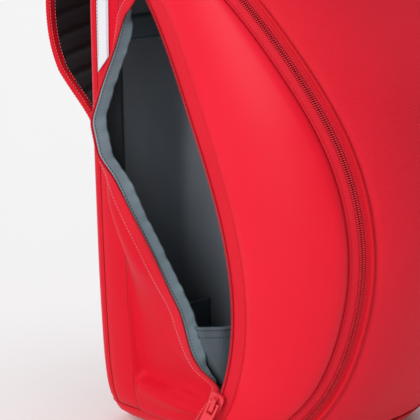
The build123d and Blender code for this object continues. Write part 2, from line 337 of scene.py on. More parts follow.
def grid_uvs(grid):
    """Cloth coordinates in metres, measured along the rows and columns of a grid."""
    rows = np.linalg.norm(np.diff(grid, axis=0), axis=-1).mean(1)
    columns = np.linalg.norm(np.diff(grid, axis=1), axis=-1)
    v = np.concatenate([[0], np.cumsum(rows)])[:, None] * np.ones(grid.shape[:2])
    u = np.concatenate([np.zeros((grid.shape[0], 1)), np.cumsum(columns, 1)], 1)
    u = u - u[:, -1:] / 2
    return np.stack([u, v], -1).reshape(-1, 2) / 1000


def rings_mesh(name, rings, u, v):
    """A closed bar through rings of points, capped at both ends. u and v are in millimetres."""
    rows, count = rings.shape[:2]
    faces = grid_faces(rows, count, wrap=True)
    faces.append(tuple(range(count - 1, -1, -1)))
    faces.append(tuple(range(rows * count - count, rows * count)))
    uvs = np.stack(np.broadcast_arrays(u, v), -1).reshape(-1, 2) / 1000
    return make_mesh(name, rings.reshape(-1, 3), faces, uvs)


def tube_mesh(name, path, radius, sides, normal):
    """A round cord along a path. normal is a direction, or one for each point, not along the path."""
    along = directions(path)
    side = unit(np.cross(along, normal))
    out = np.cross(side, along)
    turn = np.arange(sides) * FULL_TURN / sides
    ring = side[:, None] * np.cos(turn)[None, :, None] + out[:, None] * np.sin(turn)[None, :, None]
    travel = np.arange(len(path)) * np.linalg.norm(path[1] - path[0])
    return rings_mesh(name, path[:, None] + ring * radius, turn[None] * radius, travel[:, None])


def octagon(end, end_half, side_half, side, height):
    """Eight points of a rectangle with its corners cut off, all at one height."""
    half = [(-end, -end_half), (-side_half, -side), (side_half, -side), (end, -end_half)]
    return [(x, y, height) for x, y in half] + [(-x, -y, height) for x, y in half]


BEAD_CORNERS = np.array(octagon(1, 0.6, 0.75, 1, 0) + octagon(0.8, 0.45, 0.6, 0.7, 1))
BEAD_FACES = [(k, (k + 1) % 8, 8 + (k + 1) % 8, 8 + k) for k in range(8)]
BEAD_FACES += [tuple(range(8, 16)), tuple(range(7, -1, -1))]


def beads_mesh(name, places, along, out, length, width, height, lift):
    """Many small rounded blocks, such as zipper teeth or stitches: one at each place."""
    along = unit(along)
    side = unit(np.cross(out, along))
    up = np.cross(along, side)
    corner = BEAD_CORNERS * np.array([length / 2, width / 2, height])
    points = (
        places[:, None]
        + corner[None, :, 0:1] * along[:, None]
        + corner[None, :, 1:2] * side[:, None]
        + (corner[None, :, 2:3] + lift) * up[:, None]
    ).reshape(-1, 3)
    count = len(BEAD_CORNERS)
    faces = [tuple(i + count * k for i in f) for k in range(len(places)) for f in BEAD_FACES]
    return make_mesh(name, points, faces, points[:, :2] / 1000)


def spaced(path, pitch):
    """Points and directions along a path, one pitch apart."""
    points = resample(path, max(2, int(round(path_length(path) / pitch)) + 1))
    return points, directions(points)


def mirrored(points):
    return np.asarray(points) * np.array([-1.0, 1.0, 1.0])


# ---------------------------------------------------------------- materials
def tree_of(name):
    """A new material, its nodes, its links and its main shader."""
    material = bpy.data.materials.new(name)
    material.use_nodes = True
    nodes = material.node_tree.nodes
    return material, nodes, material.node_tree.links, nodes["Principled BSDF"]


def add(nodes, kind, **inputs):
    """A new shader node with its inputs or settings given by name."""
    node = nodes.new(kind)
    for key, value in inputs.items():
        if key in node.inputs:
            node.inputs[key].default_value = value
        else:
            setattr(node, key, value)
    return node


def ramped(nodes, links, source, low, deep, high, colour):
    """A colour that goes from deep to colour as the source goes from low to high."""
    ramp = add(nodes, "ShaderNodeValToRGB")
    for element, position, shade in zip(ramp.color_ramp.elements, (low, high), (deep, colour)):
        element.position = position
        element.color = (*shade, 1)
    links.new(source, ramp.inputs["Fac"])
    return ramp.outputs["Color"]


def spread(nodes, links, source, low, high):
    """A value that goes from low to high as the source goes from 0 to 1."""
    scale = add(nodes, "ShaderNodeMapRange")
    scale.inputs["To Min"].default_value = low
    scale.inputs["To Max"].default_value = high
    links.new(source, scale.inputs["Value"])
    return scale.outputs[0]


def raise_relief(nodes, links, shader, source, strength, distance):
    """Fine relief on a shader, from a texture's value as its height."""
    relief = add(nodes, "ShaderNodeBump", Strength=strength, Distance=distance)
    links.new(source, relief.inputs["Height"])
    links.new(relief.outputs[0], shader.inputs["Normal"])


def cloth(
    name, colour, deep, thread,
    bump=0.2, rough=0.6, sheen=0.04, twill=False, specular=0.14,
):
    """Woven cloth: colour varies from colour to deep, thread is the weave's pitch in millimetres."""
    material, nodes, links, shader = tree_of(name)
    coordinates = add(nodes, "ShaderNodeTexCoord")
    place = coordinates.outputs["UV"]
    waves = []
    for direction in ("X", "Y"):
        bands = "DIAGONAL" if twill else direction
        wave = add(nodes, "ShaderNodeTexWave", wave_type="BANDS", bands_direction=bands)
        wave.inputs["Scale"].default_value = 1000 / thread * math.pi / 10
        wave.inputs["Distortion"].default_value = 0.6
        wave.inputs["Detail"].default_value = 1.0
        links.new(place, wave.inputs["Vector"])
        waves.append(wave)
    weave = add(nodes, "ShaderNodeMath", operation="MULTIPLY")
    links.new(waves[0].outputs["Fac"], weave.inputs[0])
    links.new(waves[1].outputs["Fac"], weave.inputs[1])
    cloud = add(nodes, "ShaderNodeTexNoise", Scale=9.0, Detail=5.0, Roughness=0.6)
    links.new(coordinates.outputs["Object"], cloud.inputs["Vector"])
    fine = add(nodes, "ShaderNodeTexNoise", Scale=420.0, Detail=2.0)
    links.new(coordinates.outputs["Object"], fine.inputs["Vector"])
    shade = ramped(nodes, links, cloud.outputs["Fac"], 0.35, deep, 0.62, colour)
    mix = add(nodes, "ShaderNodeMix", data_type="RGBA")
    mix.inputs["A"].default_value = (*colour, 1)
    mix.inputs["Factor"].default_value = 0.35
    links.new(shade, mix.inputs["B"])
    thread_mix = add(nodes, "ShaderNodeMix", data_type="RGBA", blend_type="MULTIPLY")
    thread_mix.inputs["Factor"].default_value = min(1.0, bump * 1.2)
    links.new(mix.outputs["Result"], thread_mix.inputs["A"])
    links.new(spread(nodes, links, weave.outputs[0], 0.62, 1.15), thread_mix.inputs["B"])
    links.new(thread_mix.outputs["Result"], shader.inputs["Base Color"])
    roughness = spread(nodes, links, cloud.outputs["Fac"], rough - 0.07, rough + 0.09)
    links.new(roughness, shader.inputs["Roughness"])
    grain = add(nodes, "ShaderNodeMath", operation="MULTIPLY_ADD")
    grain.inputs[1].default_value = 0.35
    links.new(fine.outputs["Fac"], grain.inputs[0])
    links.new(weave.outputs[0], grain.inputs[2])
    raise_relief(nodes, links, shader, grain.outputs[0], bump, 0.0004)
    shader.inputs["Sheen Weight"].default_value = sheen
    shader.inputs["Sheen Roughness"].default_value = 0.45
    shader.inputs["Specular IOR Level"].default_value = specular
    return material


def coated(name, colour, deep):
    """Smooth coated cloth with a very fine grain."""
    material, nodes, links, shader = tree_of(name)
    coordinates = add(nodes, "ShaderNodeTexCoord")
    cells = add(nodes, "ShaderNodeTexVoronoi", feature="DISTANCE_TO_EDGE", Scale=1500.0)
    fine = add(nodes, "ShaderNodeTexNoise", Scale=700.0, Detail=3.0)
    cloud = add(nodes, "ShaderNodeTexNoise", Scale=5.0, Detail=4.0)
    for texture in (cells, fine, cloud):
        links.new(coordinates.outputs["Object"], texture.inputs["Vector"])
    shade = ramped(nodes, links, cloud.outputs["Fac"], 0.3, deep, 0.65, colour)
    links.new(shade, shader.inputs["Base Color"])
    roughness = spread(nodes, links, cloud.outputs["Fac"], 0.40, 0.55)
    links.new(roughness, shader.inputs["Roughness"])
    grain = add(nodes, "ShaderNodeMath", operation="ADD")
    links.new(cells.outputs["Distance"], grain.inputs[0])
    links.new(fine.outputs["Fac"], grain.inputs[1])
    raise_relief(nodes, links, shader, grain.outputs[0], 0.07, 0.0003)
    shader.inputs["Specular IOR Level"].default_value = 0.24
    shader.inputs["Sheen Weight"].default_value = 0.03
    return material


def solid(name, colour, rough, coat=0.0, scratch=0.15):
    """Moulded plastic or enamelled metal, with faint mottling and fine scratches."""
    material, nodes, links, shader = tree_of(name)
    coordinates = add(nodes, "ShaderNodeTexCoord")
    cloud = add(nodes, "ShaderNodeTexNoise", Scale=60.0, Detail=4.0)
    fine = add(nodes, "ShaderNodeTexNoise", Scale=900.0, Detail=2.0)
    for texture in (cloud, fine):
        links.new(coordinates.outputs["Object"], texture.inputs["Vector"])
    mix = add(nodes, "ShaderNodeMix", data_type="RGBA")
    mix.inputs["A"].default_value = (*[c * 0.82 for c in colour], 1)
    mix.inputs["B"].default_value = (*colour, 1)
    links.new(cloud.outputs["Fac"], mix.inputs["Factor"])
    links.new(mix.outputs["Result"], shader.inputs["Base Color"])
    roughness = spread(nodes, links, cloud.outputs["Fac"], rough - 0.08, rough + 0.1)
    links.new(roughness, shader.inputs["Roughness"])
    raise_relief(nodes, links, shader, fine.outputs["Fac"], scratch, 0.0001)
    shader.inputs["Specular IOR Level"].default_value = 0.3
    shader.inputs["Coat Weight"].default_value = coat
    return material


materials = {
    "red_nylon": cloth(
        "red nylon", (0.67, 0.003, 0.020), (0.56, 0.001, 0.012), 0.8, bump=0.12, rough=0.56, specular=0.12,
    ),
    "red_woven": cloth(
        "red woven", (0.78, 0.014, 0.034), (0.66, 0.008, 0.022), 1.5, bump=0.30, rough=0.62,
    ),
    "red_coated": coated("red coated", (0.76, 0.004, 0.026), (0.70, 0.002, 0.018)),
    "red_tape": cloth("red tape", (0.72, 0.012, 0.030), (0.60, 0.005, 0.018), 1.1, bump=0.30, rough=0.6),
    "red_coil": solid("red coil", (0.62, 0.010, 0.024), rough=0.42),
    "red_thread": solid("red thread", (0.90, 0.15, 0.19), rough=0.55),
    "grey_thread": solid("grey thread", (0.040, 0.055, 0.060), rough=0.6),
    "red_piping": cloth(
        "red piping", (0.68, 0.006, 0.018), (0.50, 0.003, 0.012), 0.9, bump=0.25, rough=0.55,
    ),
    "red_metal": solid("red enamel", (0.80, 0.035, 0.055), rough=0.34, coat=0.3, scratch=0.06),
    "white_trim": cloth(
        "white stripe", (0.74, 0.74, 0.78), (0.68, 0.68, 0.72), 0.9, bump=0.1, rough=0.5,
    ),
    "grey_lining": cloth(
        "grey lining", (0.297, 0.393, 0.448), (0.207, 0.283, 0.331), 1.0, bump=0.3, rough=0.5,
    ),
    "shade_lining": cloth(
        "shaded lining", (0.100, 0.125, 0.145), (0.070, 0.090, 0.105), 1.0, bump=0.3, rough=0.5,
    ),
    # The grey lining cloth painted darker: painted shade inside the pocket, on its liner, floor and ceiling.
    "shaded_liner_cloth": cloth(
        "liner cloth in painted shade", (0.150, 0.168, 0.190), (0.110, 0.126, 0.142), 1.2, bump=0.25, rough=0.55,
    ),
    # The grey lining cloth painted near black: painted shade on the inner sides of walls, tapes, doors and
    # the pocket's flap, and on the divider's binding.
    "deep_shade_lining": cloth(
        "lining in deep painted shade", (0.032, 0.039, 0.044), (0.019, 0.023, 0.027), 1.2, bump=0.25, rough=0.62,
    ),
    "dark_mesh": cloth(
        "spacer mesh", (0.022, 0.022, 0.025), (0.010, 0.010, 0.012), 2.2, bump=0.5, rough=0.7, sheen=0.06,
    ),
    "webbing": cloth(
        "webbing", (0.60, 0.006, 0.018), (0.44, 0.003, 0.012), 1.6, bump=0.5, rough=0.6, twill=True,
    ),
    "black_plastic": solid("black plastic", (0.025, 0.025, 0.028), rough=0.42),
    "board": solid("board", (0.03, 0.03, 0.034), rough=0.6),
    "foam": cloth("divider cloth", (0.10, 0.13, 0.155), (0.07, 0.09, 0.11), 1.3, bump=0.3, rough=0.7),
}
# A table that pairs these materials with grey_lining's slot. It is not kept, so every material has a slot of
# its own.
dict.fromkeys(("deep_shade_lining", "grey_thread", "shade_lining", "shaded_liner_cloth"), "grey_lining")


def dress(obj, material):
    """Gives an object one material and that material's slot."""
    obj.data.materials.clear()
    obj.data.materials.append(materials[material])


def piece(obj, material, body, replaces=()):
    """Gives a finished mesh its material and its body, and the CAD nodes that it stands for."""
    dress(obj, material)
    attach(obj, body)
    if replaces:
        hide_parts(*replaces)
    return obj


# ---------------------------------------------------------------- cloth on the body
def side_angle(y):
    """The section angle where the body's left side reaches y, behind its waist."""
    share = (y - WAIST_Y) / (BACK_Y - WAIST_Y)
    return math.pi - math.asin(share ** (BACK_POWER / 2))


def zipper_line(line, distance, count, low=DOOR_BOTTOM, end=HINGE_ACROSS):
    """A line beside a zipper on the corner plane, from the base up to the hinge."""
    dense = beside(line, distance, 800)
    keep = (dense[:, 1] >= low) & (dense[:, 0] >= end)
    return resample(dense[keep], count)


def line_angle(line, distance):
    """The section angle of a zipper line at any height."""
    flat = beside(line, distance, 300)
    angles = angle_at(corner_point(flat[:, 0], flat[:, 1]))
    return lambda z: np.interp(z, flat[:, 1], angles)


def body_rows(heights, start, end, columns):
    """A grid on the body: at each height, evenly spaced from one section angle to another."""
    rows = []
    for z in heights:
        a, b = (edge(z) if callable(edge) else edge for edge in (start, end))
        rows.append(resample(section_point(np.linspace(a, b, 8 * columns), z), columns))
    return np.array(rows)


def corner_patch(left, right, columns):
    """A grid on the body between two lines of the corner plane."""
    share = np.linspace(0, 1, columns)[None, :, None]
    flat = left[:, None] * (1 - share) + right[:, None] * share
    return corner_point(flat[..., 0], flat[..., 1])


def flipped(grid):
    """The same cloth on the bag's other side."""
    return mirrored(grid)[:, ::-1]


def on_side(path, flip):
    """A path of the bag's left side, or its mirror image on the right side where flip is true."""
    return mirrored(path) if flip else path


def ripple(points, size, seed=0.0):
    """Smooth noise from about -1 to 1 with folds of the given size in millimetres."""
    flat = np.asarray(points, float).reshape(-1, 3) / size + seed
    values = [noise.noise(p) for p in flat.tolist()]
    return np.array(values).reshape(np.asarray(points).shape[:-1])


def edge_distance(grid):
    """How far each point of a grid is from the nearest of its four edges."""
    across = np.linalg.norm(np.diff(grid, axis=1), axis=-1)
    up = np.linalg.norm(np.diff(grid, axis=0), axis=-1)
    along = np.concatenate([np.zeros((len(grid), 1)), np.cumsum(across, 1)], 1)
    height = np.concatenate([np.zeros((1, grid.shape[1])), np.cumsum(up, 0)], 0)
    return np.min([along, along[:, -1:] - along, height, height[-1:] - height], axis=0)


def sewn(grid, swell=1.2, reach=26.0, pinch=1.4, wrinkle=0.7, fold=70.0, pucker=0.35, seed=0.0):
    """Moves cloth along the body's normals: it dips and puckers at its seams and swells between them."""
    out = normals(grid)
    far = edge_distance(grid)
    rise = swell * (1 - np.exp(-far / reach)) - pinch * np.exp(-((far / 5.0) ** 2))
    rise += wrinkle * ripple(grid, fold, seed) * (1 - np.exp(-far / 14.0))
    rise += pucker * ripple(grid, 9.0, seed + 5.0) * np.exp(-far / 12.0)
    return grid + out * rise[..., None], -out


def wall_mesh(name, outer, inner, wrap=False):
    """A closed wall between an outer and an inner grid. The inner side's faces come last."""
    rows, columns = outer.shape[:2]
    points = np.concatenate([outer.reshape(-1, 3), inner.reshape(-1, 3)])
    half = rows * columns
    front = grid_faces(rows, columns, wrap=wrap)
    rear = [tuple(half + i for i in reversed(face)) for face in front]
    loops = []
    if wrap:
        loops.append(list(range(columns)))
        loops.append([(rows - 1) * columns + c for c in range(columns - 1, -1, -1)])
    else:
        edge = list(range(columns))
        edge += [r * columns + columns - 1 for r in range(1, rows)]
        edge += [(rows - 1) * columns + c for c in range(columns - 2, -1, -1)]
        edge += [r * columns for r in range(rows - 2, 0, -1)]
        loops.append(edge)
    rim = []
    for edge in loops:
        rim += [(b, a, a + half, b + half) for a, b in zip(edge, edge[1:] + edge[:1])]
    uvs = grid_uvs(outer)
    obj = make_mesh(name, points, front + rim + rear, np.concatenate([uvs, uvs]))
    obj["first_inner_face"] = len(front) + len(rim)
    return obj


def skin(name, grid, inward, thickness, wrap=False):
    """A closed wall of one thickness, with the grid as its outer face."""
    return wall_mesh(name, grid, grid + inward * thickness, wrap)


def lined(obj, material):
    """Gives a wall's inner side its own cloth."""
    obj.data.materials.append(materials[material])
    count = len(obj.data.polygons)
    index = np.zeros(count, dtype=np.int32)
    index[obj["first_inner_face"]:] = 1
    obj.data.polygons.foreach_set("material_index", index)
    return obj


def cloth_wall(name, grid, inward, thickness, material, lining, body, replaced=(), wrap=False):
    """A wall on a body, with one material outside and another as its lining."""
    return lined(piece(skin(name, grid, inward, thickness, wrap), material, body, replaced), lining)


def cover(name, grid, material, body, replaced, **shape):
    """One padded wall of the bag."""
    outer, inward = sewn(grid, **shape)
    # The inner side gets the near-black lining as painted shade.
    obj = cloth_wall(name, outer, inward, COVER_THICK, material, "deep_shade_lining", body, replaced)
    return obj


def zipper_tape(name, line, distances, body, node, flip=False, sink=1.0, thick=2.2, **ends):
    """One half of a zipper's tape, between two distances from the zipper's line, sunk below the cloth."""
    inner, outer = (zipper_line(line, distance, 180, **ends) for distance in distances)
    grid = corner_patch(inner, outer, 5)
    grid = flipped(grid) if flip else grid
    out = normals(grid)
    cloth_wall(name, grid - out * sink, -out, thick, "red_tape", "deep_shade_lining", body, [node])


def stitches(name, path, body, material="red_thread", lift=0.1):
    """A row of sewing thread along a path on the body."""
    pitch = 2.9
    places, along = spaced(path, pitch)
    piece(beads_mesh(name, places, along, normals(places), pitch * 0.7, 0.6, 0.35, lift), material, body)


def thread(name, path, out, pitch, size, lift=0.1):
    """A row of stitches along any path. out is the cloth's outward direction, or one for each point."""
    places, along = spaced(path, pitch)
    facing = np.tile(out, (len(places), 1)) if np.ndim(out) == 1 else resample(out, len(places))
    return beads_mesh(name, places, along, facing, *size, lift)


def corner_path(line, distance, lift, count=220, low=DOOR_BOTTOM, end=HINGE_ACROSS):
    """A line beside a zipper, on the body and raised off it."""
    flat = zipper_line(line, distance, count, low, end)
    points = corner_point(flat[:, 0], flat[:, 1])
    return points + normals(points) * lift


def teeth(name, path, body, replaced, late=False):
    """One row of zipper teeth along a path. late starts the row half a tooth on, so that two rows mesh."""
    count = int(round(path_length(path) / TOOTH_PITCH))
    fine = resample(path, 2 * count + 2)
    places = fine[1::2] if late else fine[::2]
    size = (TOOTH_PITCH * 0.72, TOOTH_WIDTH, 1.1)
    obj = beads_mesh(name, places, directions(places), normals(places), *size, 0.1)
    piece(obj, "red_coil", body, replaced)


# ---------------------------------------------------------------- shell: base, top, back and front
def ring_rows(heights, columns):
    """Rows that go all the way round the body, starting at the middle of its back."""
    angles = np.linspace(0, FULL_TURN, 6 * columns + 1) + math.pi / 2
    rows = []
    for z in heights:
        dense = section_point(angles, z)
        rows.append(resample(dense, columns + 1)[:-1])
    return np.array(rows)


def end_cap(rim, middle_z, steps):
    """Rows from near the middle of a flat end out to its rim."""
    centre = rim.mean(0)
    centre[2] = middle_z
    share = np.linspace(0.03, 1, steps)[:-1, None, None]
    cap = centre + (rim[None] - centre) * share
    cap[..., 2] = middle_z + (rim[0, 2] - middle_z) * share[..., 0] ** 3
    return cap


def base():
    """The base: a flat cap and the low wall round it, which dips into its upper seam."""
    walls = ring_rows([0, 1.5, 4, 8, 13, 17, 19.5, 21.3], 200)
    cap = end_cap(walls[0], 0.0, 14)
    grid = np.concatenate([cap, walls])
    out = normals(grid)
    out[:len(cap)] = -UPWARDS
    sink = np.zeros(len(grid))
    sink[-2:] = (0.2, 0.7)
    grid = grid - out * sink[:, None, None]
    cloth_wall(
        "base_cover", grid, -out, COVER_THICK, "red_nylon", "deep_shade_lining", "shell", ["base_panel"], wrap=True,
    )


def top():
    """The rounded top, from its seam up to a nearly flat cap."""
    walls = ring_rows([508.8, 511, 515, 522, 532, 543, 552, 560, 567, 573, 577, 579.4], 200)
    cap = end_cap(walls[-1], HEIGHT + 0.6, 16)[::-1]
    grid = np.concatenate([walls, cap])
    out = normals(grid)
    out[len(walls):] = UPWARDS
    rise = 0.6 + 0.7 * ripple(grid, 60.0, 3.0)
    rise[:2] = ((-1.2,), (-0.2,))
    grid = grid + out * rise[..., None]
    cloth_wall(
        "top_cover", grid, -out, COVER_THICK, "red_woven", "deep_shade_lining", "shell", ["top_panel"], wrap=True,
    )


def seam_piping(name, path, body, replaced=(), radius=1.9, lift=0.4):
    """A round cord of folded cloth sewn into a seam."""
    path = path + normals(path) * lift
    piece(tube_mesh(name, path, radius, CORD_SIDES, normals(path)), "red_piping", body, replaced)


BACK_START = math.pi - side_angle(BACK_EDGE_Y)


def back():
    """The back wall, from one side's hinge seam to the other's."""
    heights = np.arange(22.6, 507.8, 5.5)
    left = math.pi - BACK_START
    grid = body_rows(heights, BACK_START, left, 90)
    shape = {"swell": 0.8, "fold": 90.0, "pinch": 0.5, "pucker": 0.15, "seed": 7.0}
    cover("back_cover", grid, "red_nylon", "shell", ["back_panel"], **shape)


def front():
    """The middle of the front, between the two door zippers, and round to the hinges above the doors."""
    line = zipper_line(DOOR_LINE, FIXED_TAPE + 1.0, 130, BASE_TOP + 0.5, FIXED_END - 0.2)
    edge = corner_point(line[:, 0], line[:, 1])
    heights = np.concatenate([edge[:, 2], np.linspace(edge[-1, 2] + 1.2, TOP_BOTTOM - 0.4, 4)])
    left = line_angle(DOOR_LINE, FIXED_TAPE + 1.0)
    top_angle = side_angle(BACK_EDGE_Y)

    def start(z):
        return max(left(z), top_angle) if z < edge[-1, 2] + 0.1 else top_angle

    rows = []
    for z in heights:
        a = start(z)
        rows.append(resample(section_point(np.linspace(a, 3 * math.pi - a, 900), z), 110))
    shape = {"swell": 1.6, "reach": 40.0, "fold": 110.0, "seed": 11.0}
    cover("front_cover", np.array(rows), "red_woven", "shell", ["front_panel"], **shape)


def zipper(side, flip):
    """The fixed half of a door's zipper: tape, teeth, piping and stitches."""
    name, node = side + "_fixed_tape", side + "_zipper_tape"
    ends = {"low": BASE_TOP + 0.4, "end": FIXED_END}
    zipper_tape(name, DOOR_LINE, (TAPE_GAP, FIXED_TAPE + 1.0), "shell", node, flip, **ends)
    path = on_side(corner_path(DOOR_LINE, TOOTH_PLACE, -0.9, low=BASE_TOP + 1, end=FIXED_END), flip)
    teeth(side + "_fixed_teeth", path, "shell", [side + "_zipper_coil"])
    path = on_side(corner_path(DOOR_LINE, FIXED_TAPE, 0.0, 260, BASE_TOP, FIXED_END - 0.5), flip)
    seam_piping(side + "_door_seam", path, "shell", [side + "_door_piping"], radius=1.7, lift=0.1)
    path = on_side(corner_path(DOOR_LINE, 4.6, -0.8, end=FIXED_END), flip)
    stitches(side + "_fixed_tape_stitches", path, "shell", "red_tape")


def hinge_seam(side, flip):
    """The piping in a door's hinge and the stitches behind it."""
    path = on_side(section_point(side_angle(HINGE_Y + 1.0), np.linspace(BASE_TOP, 492.0, 150)), flip)
    seam_piping(side + "_hinge_piping", path, "shell", radius=0.8, lift=-0.9)
    path = on_side(section_point(side_angle(88.5), np.linspace(BASE_TOP + 4, 503.0, 150)), flip)
    stitches(side + "_hinge_stitches", path + normals(path) * 0.6, "shell")


def ring_seams():
    """The piping round the base and the top, and the stitches above the top's."""
    for name, z, radius in (("base_piping", BASE_TOP, 0.9), ("top_piping", TOP_BOTTOM, 1.8)):
        ring = ring_rows([z], 320)[0]
        ring = np.concatenate([ring, ring[:1]])
        seam_piping(name, ring, "shell", radius=radius, lift=-0.4)
    ring = ring_rows([TOP_BOTTOM + 7.0], 320)[0]
    stitches("top_stitches", np.concatenate([ring, ring[:1]]), "shell")


# ---------------------------------------------------------------- doors
def quarter_round(share):
    """Rises from 0 to 1 as a quarter of a circle does, while share goes from 0 to 1."""
    return np.sqrt(1 - (1 - np.clip(share, 0, 1)) ** 2)


def door(side, flip):
    """A padded door's pillow and the moving half of its zipper."""
    body = side + "_door"
    inner = zipper_line(POCKET_LINE, TAPE + 0.6, 150)
    outer = zipper_line(DOOR_LINE, -TAPE + 0.6, 150)
    grid = corner_patch(inner, outer, 60)
    out = normals(grid)
    inward = -normals(flipped(grid) if flip else grid)
    across = np.linalg.norm(np.diff(grid, axis=1), axis=-1)
    along = np.concatenate([np.zeros((len(grid), 1)), np.cumsum(across, 1)], 1)
    width = along[:, -1:]
    near, far = along, width - along
    crown = PILLOW_CROWN * np.minimum(1.0, width / 90.0)
    near_edge, far_edge = quarter_round(near / 13.0), quarter_round(far / 10.0)
    swell = np.sin(np.pi * np.clip(along / width, 0, 1)) ** 0.8
    rise = crown * 0.62 * near_edge * far_edge + crown * 0.38 * swell
    ends = quarter_round(np.minimum(grid[..., 2] - DOOR_BOTTOM, PILLOW_TOP - grid[..., 2]) / 16.0)
    rise = rise * ends + 0.5 * ripple(grid, 85.0, 2.0) * near_edge * far_edge - 0.6
    grid = grid + out * rise[..., None]
    grid = flipped(grid) if flip else grid
    name, node = body + "_cushion", body + "_pillow"
    cloth_wall(name, grid, inward, 3.2, "red_coated", "deep_shade_lining", body, [node])

    zipper_tape(body + "_moving_tape", DOOR_LINE, (-TAPE + 1.0, -TAPE_GAP), body, body + "_tape", flip)
    path = on_side(corner_path(DOOR_LINE, -TOOTH_PLACE, -0.9), flip)
    teeth(body + "_teeth", path, body, [body + "_coil"], late=True)
    path = on_side(corner_path(DOOR_LINE, -TAPE + 3.0, -0.7), flip)
    stitches(body + "_tape_stitches", path, body, "red_tape")


def side_rows(front_edge, top_z):
    """A grid on the left side, from the hinge to a front edge."""
    return body_rows(np.arange(DOOR_BOTTOM + 0.4, top_z, 5.0), side_angle(HINGE_Y - 1.2), front_edge, 44)


def right_side():
    """The plain side: one panel from the hinge to the pillow, with a white stripe on it."""
    edge = line_angle(POCKET_LINE, TAPE + 0.4)
    grid = flipped(side_rows(edge, 464.0))
    cover("right_side_cover", grid, "red_nylon", "right_door", ["right_side_panel"], seed=21.0)
    path = mirrored(corner_path(POCKET_LINE, TAPE + 0.2, 0.0, 240))
    seam_piping("right_pillow_seam", path, "right_door", radius=1.7)
    stitches("right_side_stitches", mirrored(corner_path(POCKET_LINE, TAPE - 5.0, 0.7)), "right_door")
    stripe("right_side_stripe", "right_door", "right_stripe", True)


def stripe(name, body, replaced, flip):
    """A woven white stripe along the side, cut at a slant at its lower end."""
    low, high = STRIPE_Y
    columns = np.linspace(high, low, 7)
    rows = []
    for share in np.linspace(0, 1, 60):
        row = []
        for y in columns:
            bottom = STRIPE_BOTTOM + 15.0 - (y - low)
            z = bottom + (STRIPE_TOP - (y - low) * 0.6 - bottom) * share
            row.append(section_point(side_angle(y), z))
        rows.append(row)
    grid = np.array(rows)
    grid = flipped(grid) if flip else grid
    out = normals(grid)
    lift = 0.9 + 0.7 * ripple(grid, 70.0, 21.0 if flip else 17.0)
    grid = grid + out * (lift + 0.9)[..., None]
    cloth_wall(name, grid, -out, 0.8, "white_trim", "white_trim", body, [replaced])
    for tag, y in (("rear", high - 1.3), ("front", low + 1.3)):
        heights = np.linspace(STRIPE_BOTTOM + 14, STRIPE_TOP - 10, 80)
        path = on_side(section_point(side_angle(y), heights), flip)
        stitches(f"{name}_{tag}_stitches", path + normals(path) * 2.2, body, "white_trim", lift=0.2)


def left_side():
    """The pocket side: a narrow band between the hinge and the pocket's seam, and the fixed zipper tape."""
    seam = side_angle(SEAM_Y + 0.6)
    edge = line_angle(POCKET_LINE, -TAPE)
    grid = side_rows(lambda z: min(seam, edge(z)) if z > 390 else seam, 440.0)
    obj = cover(
        "left_side_cover", grid, "red_nylon", "left_door", ["left_side_band"],
        seed=17.0, wrinkle=0.5, swell=0.9, pinch=0.5, pucker=0.15,
    )
    # The cover's cut edge along the pocket seam takes the near-black lining: a painted shade line in the
    # seam.
    first = (len(grid) - 1) * (grid.shape[1] - 1) + grid.shape[1] - 1
    for index in range(first, first + len(grid) - 1):
        obj.data.polygons[index].material_index = 1
    stripe("left_side_stripe", "left_door", "left_stripe", False)

    edges = (TAPE_GAP, TAPE + 1.2)
    zipper_tape("pocket_fixed_tape", POCKET_LINE, edges, "left_door", "pocket_tape", sink=1.2, thick=2.0)
    teeth("pocket_fixed_teeth", corner_path(POCKET_LINE, TOOTH_PLACE, -1.1), "left_door", ["pocket_coil"])


# ---------------------------------------------------------------- ball pocket
pocket_across = curve_through(POCKET_LINE, 400)


def pocket_spot(z, gap=0.6):
    """A point of the body on the flap's side of the pocket zipper."""
    across = np.interp(z, pocket_across[:, 1], pocket_across[:, 0]) - gap
    return corner_point(across, z)


CLOSED_LOW = 60.0
HEM_ACROSS = 0.75
HEM_DEPTH = 0.66
CLOSED_HIGH = 418.0
# (height, how far the open edge stands off the closed zipper's chord, how far the wall bows out)
MOUTH_SHAPE = np.array([
    (60, 0, 0), (80, 9, -1), (100, 16, -2), (130, 18, 1), (150, 23, 5), (180, 30, 13), (220, 42, 14),
    (245, 50, 10), (270, 60, 6), (290, 60, 4), (315, 50, 3), (363, 24, 2), (405, 4, 1), (418, 0, 0),
], dtype=float)
stand_off = smooth_through(MOUTH_SHAPE[:, 0], MOUTH_SHAPE[:, 1])
bow_out = smooth_through(MOUTH_SHAPE[:, 0], MOUTH_SHAPE[:, 2])
AWAY = np.array([-ROOT_HALF, ROOT_HALF, 0.0])
INWARD = np.array([ROOT_HALF, ROOT_HALF, 0.0])


def flap_edge(z):
    """The pocket wall's free edge: on the zipper where it is closed, standing off it where it is open."""
    z = np.asarray(z, float)
    low, high = pocket_spot(CLOSED_LOW), pocket_spot(CLOSED_HIGH)
    share = ((z - CLOSED_LOW) / (CLOSED_HIGH - CLOSED_LOW))[:, None]
    chord = low + (high - low) * share
    chord[:, 2] = z
    away = chord + AWAY * stand_off(z)[:, None]
    closed = pocket_spot(z)
    inside = ((z > CLOSED_LOW) & (z < CLOSED_HIGH))[:, None]
    near = np.clip(np.minimum((z - CLOSED_LOW) / 25.0, (CLOSED_HIGH - z) / 38.0), 0, 1)[:, None]
    ease = near * near * (3 - 2 * near)
    return np.where(inside, closed * (1 - ease) + away * ease, closed)


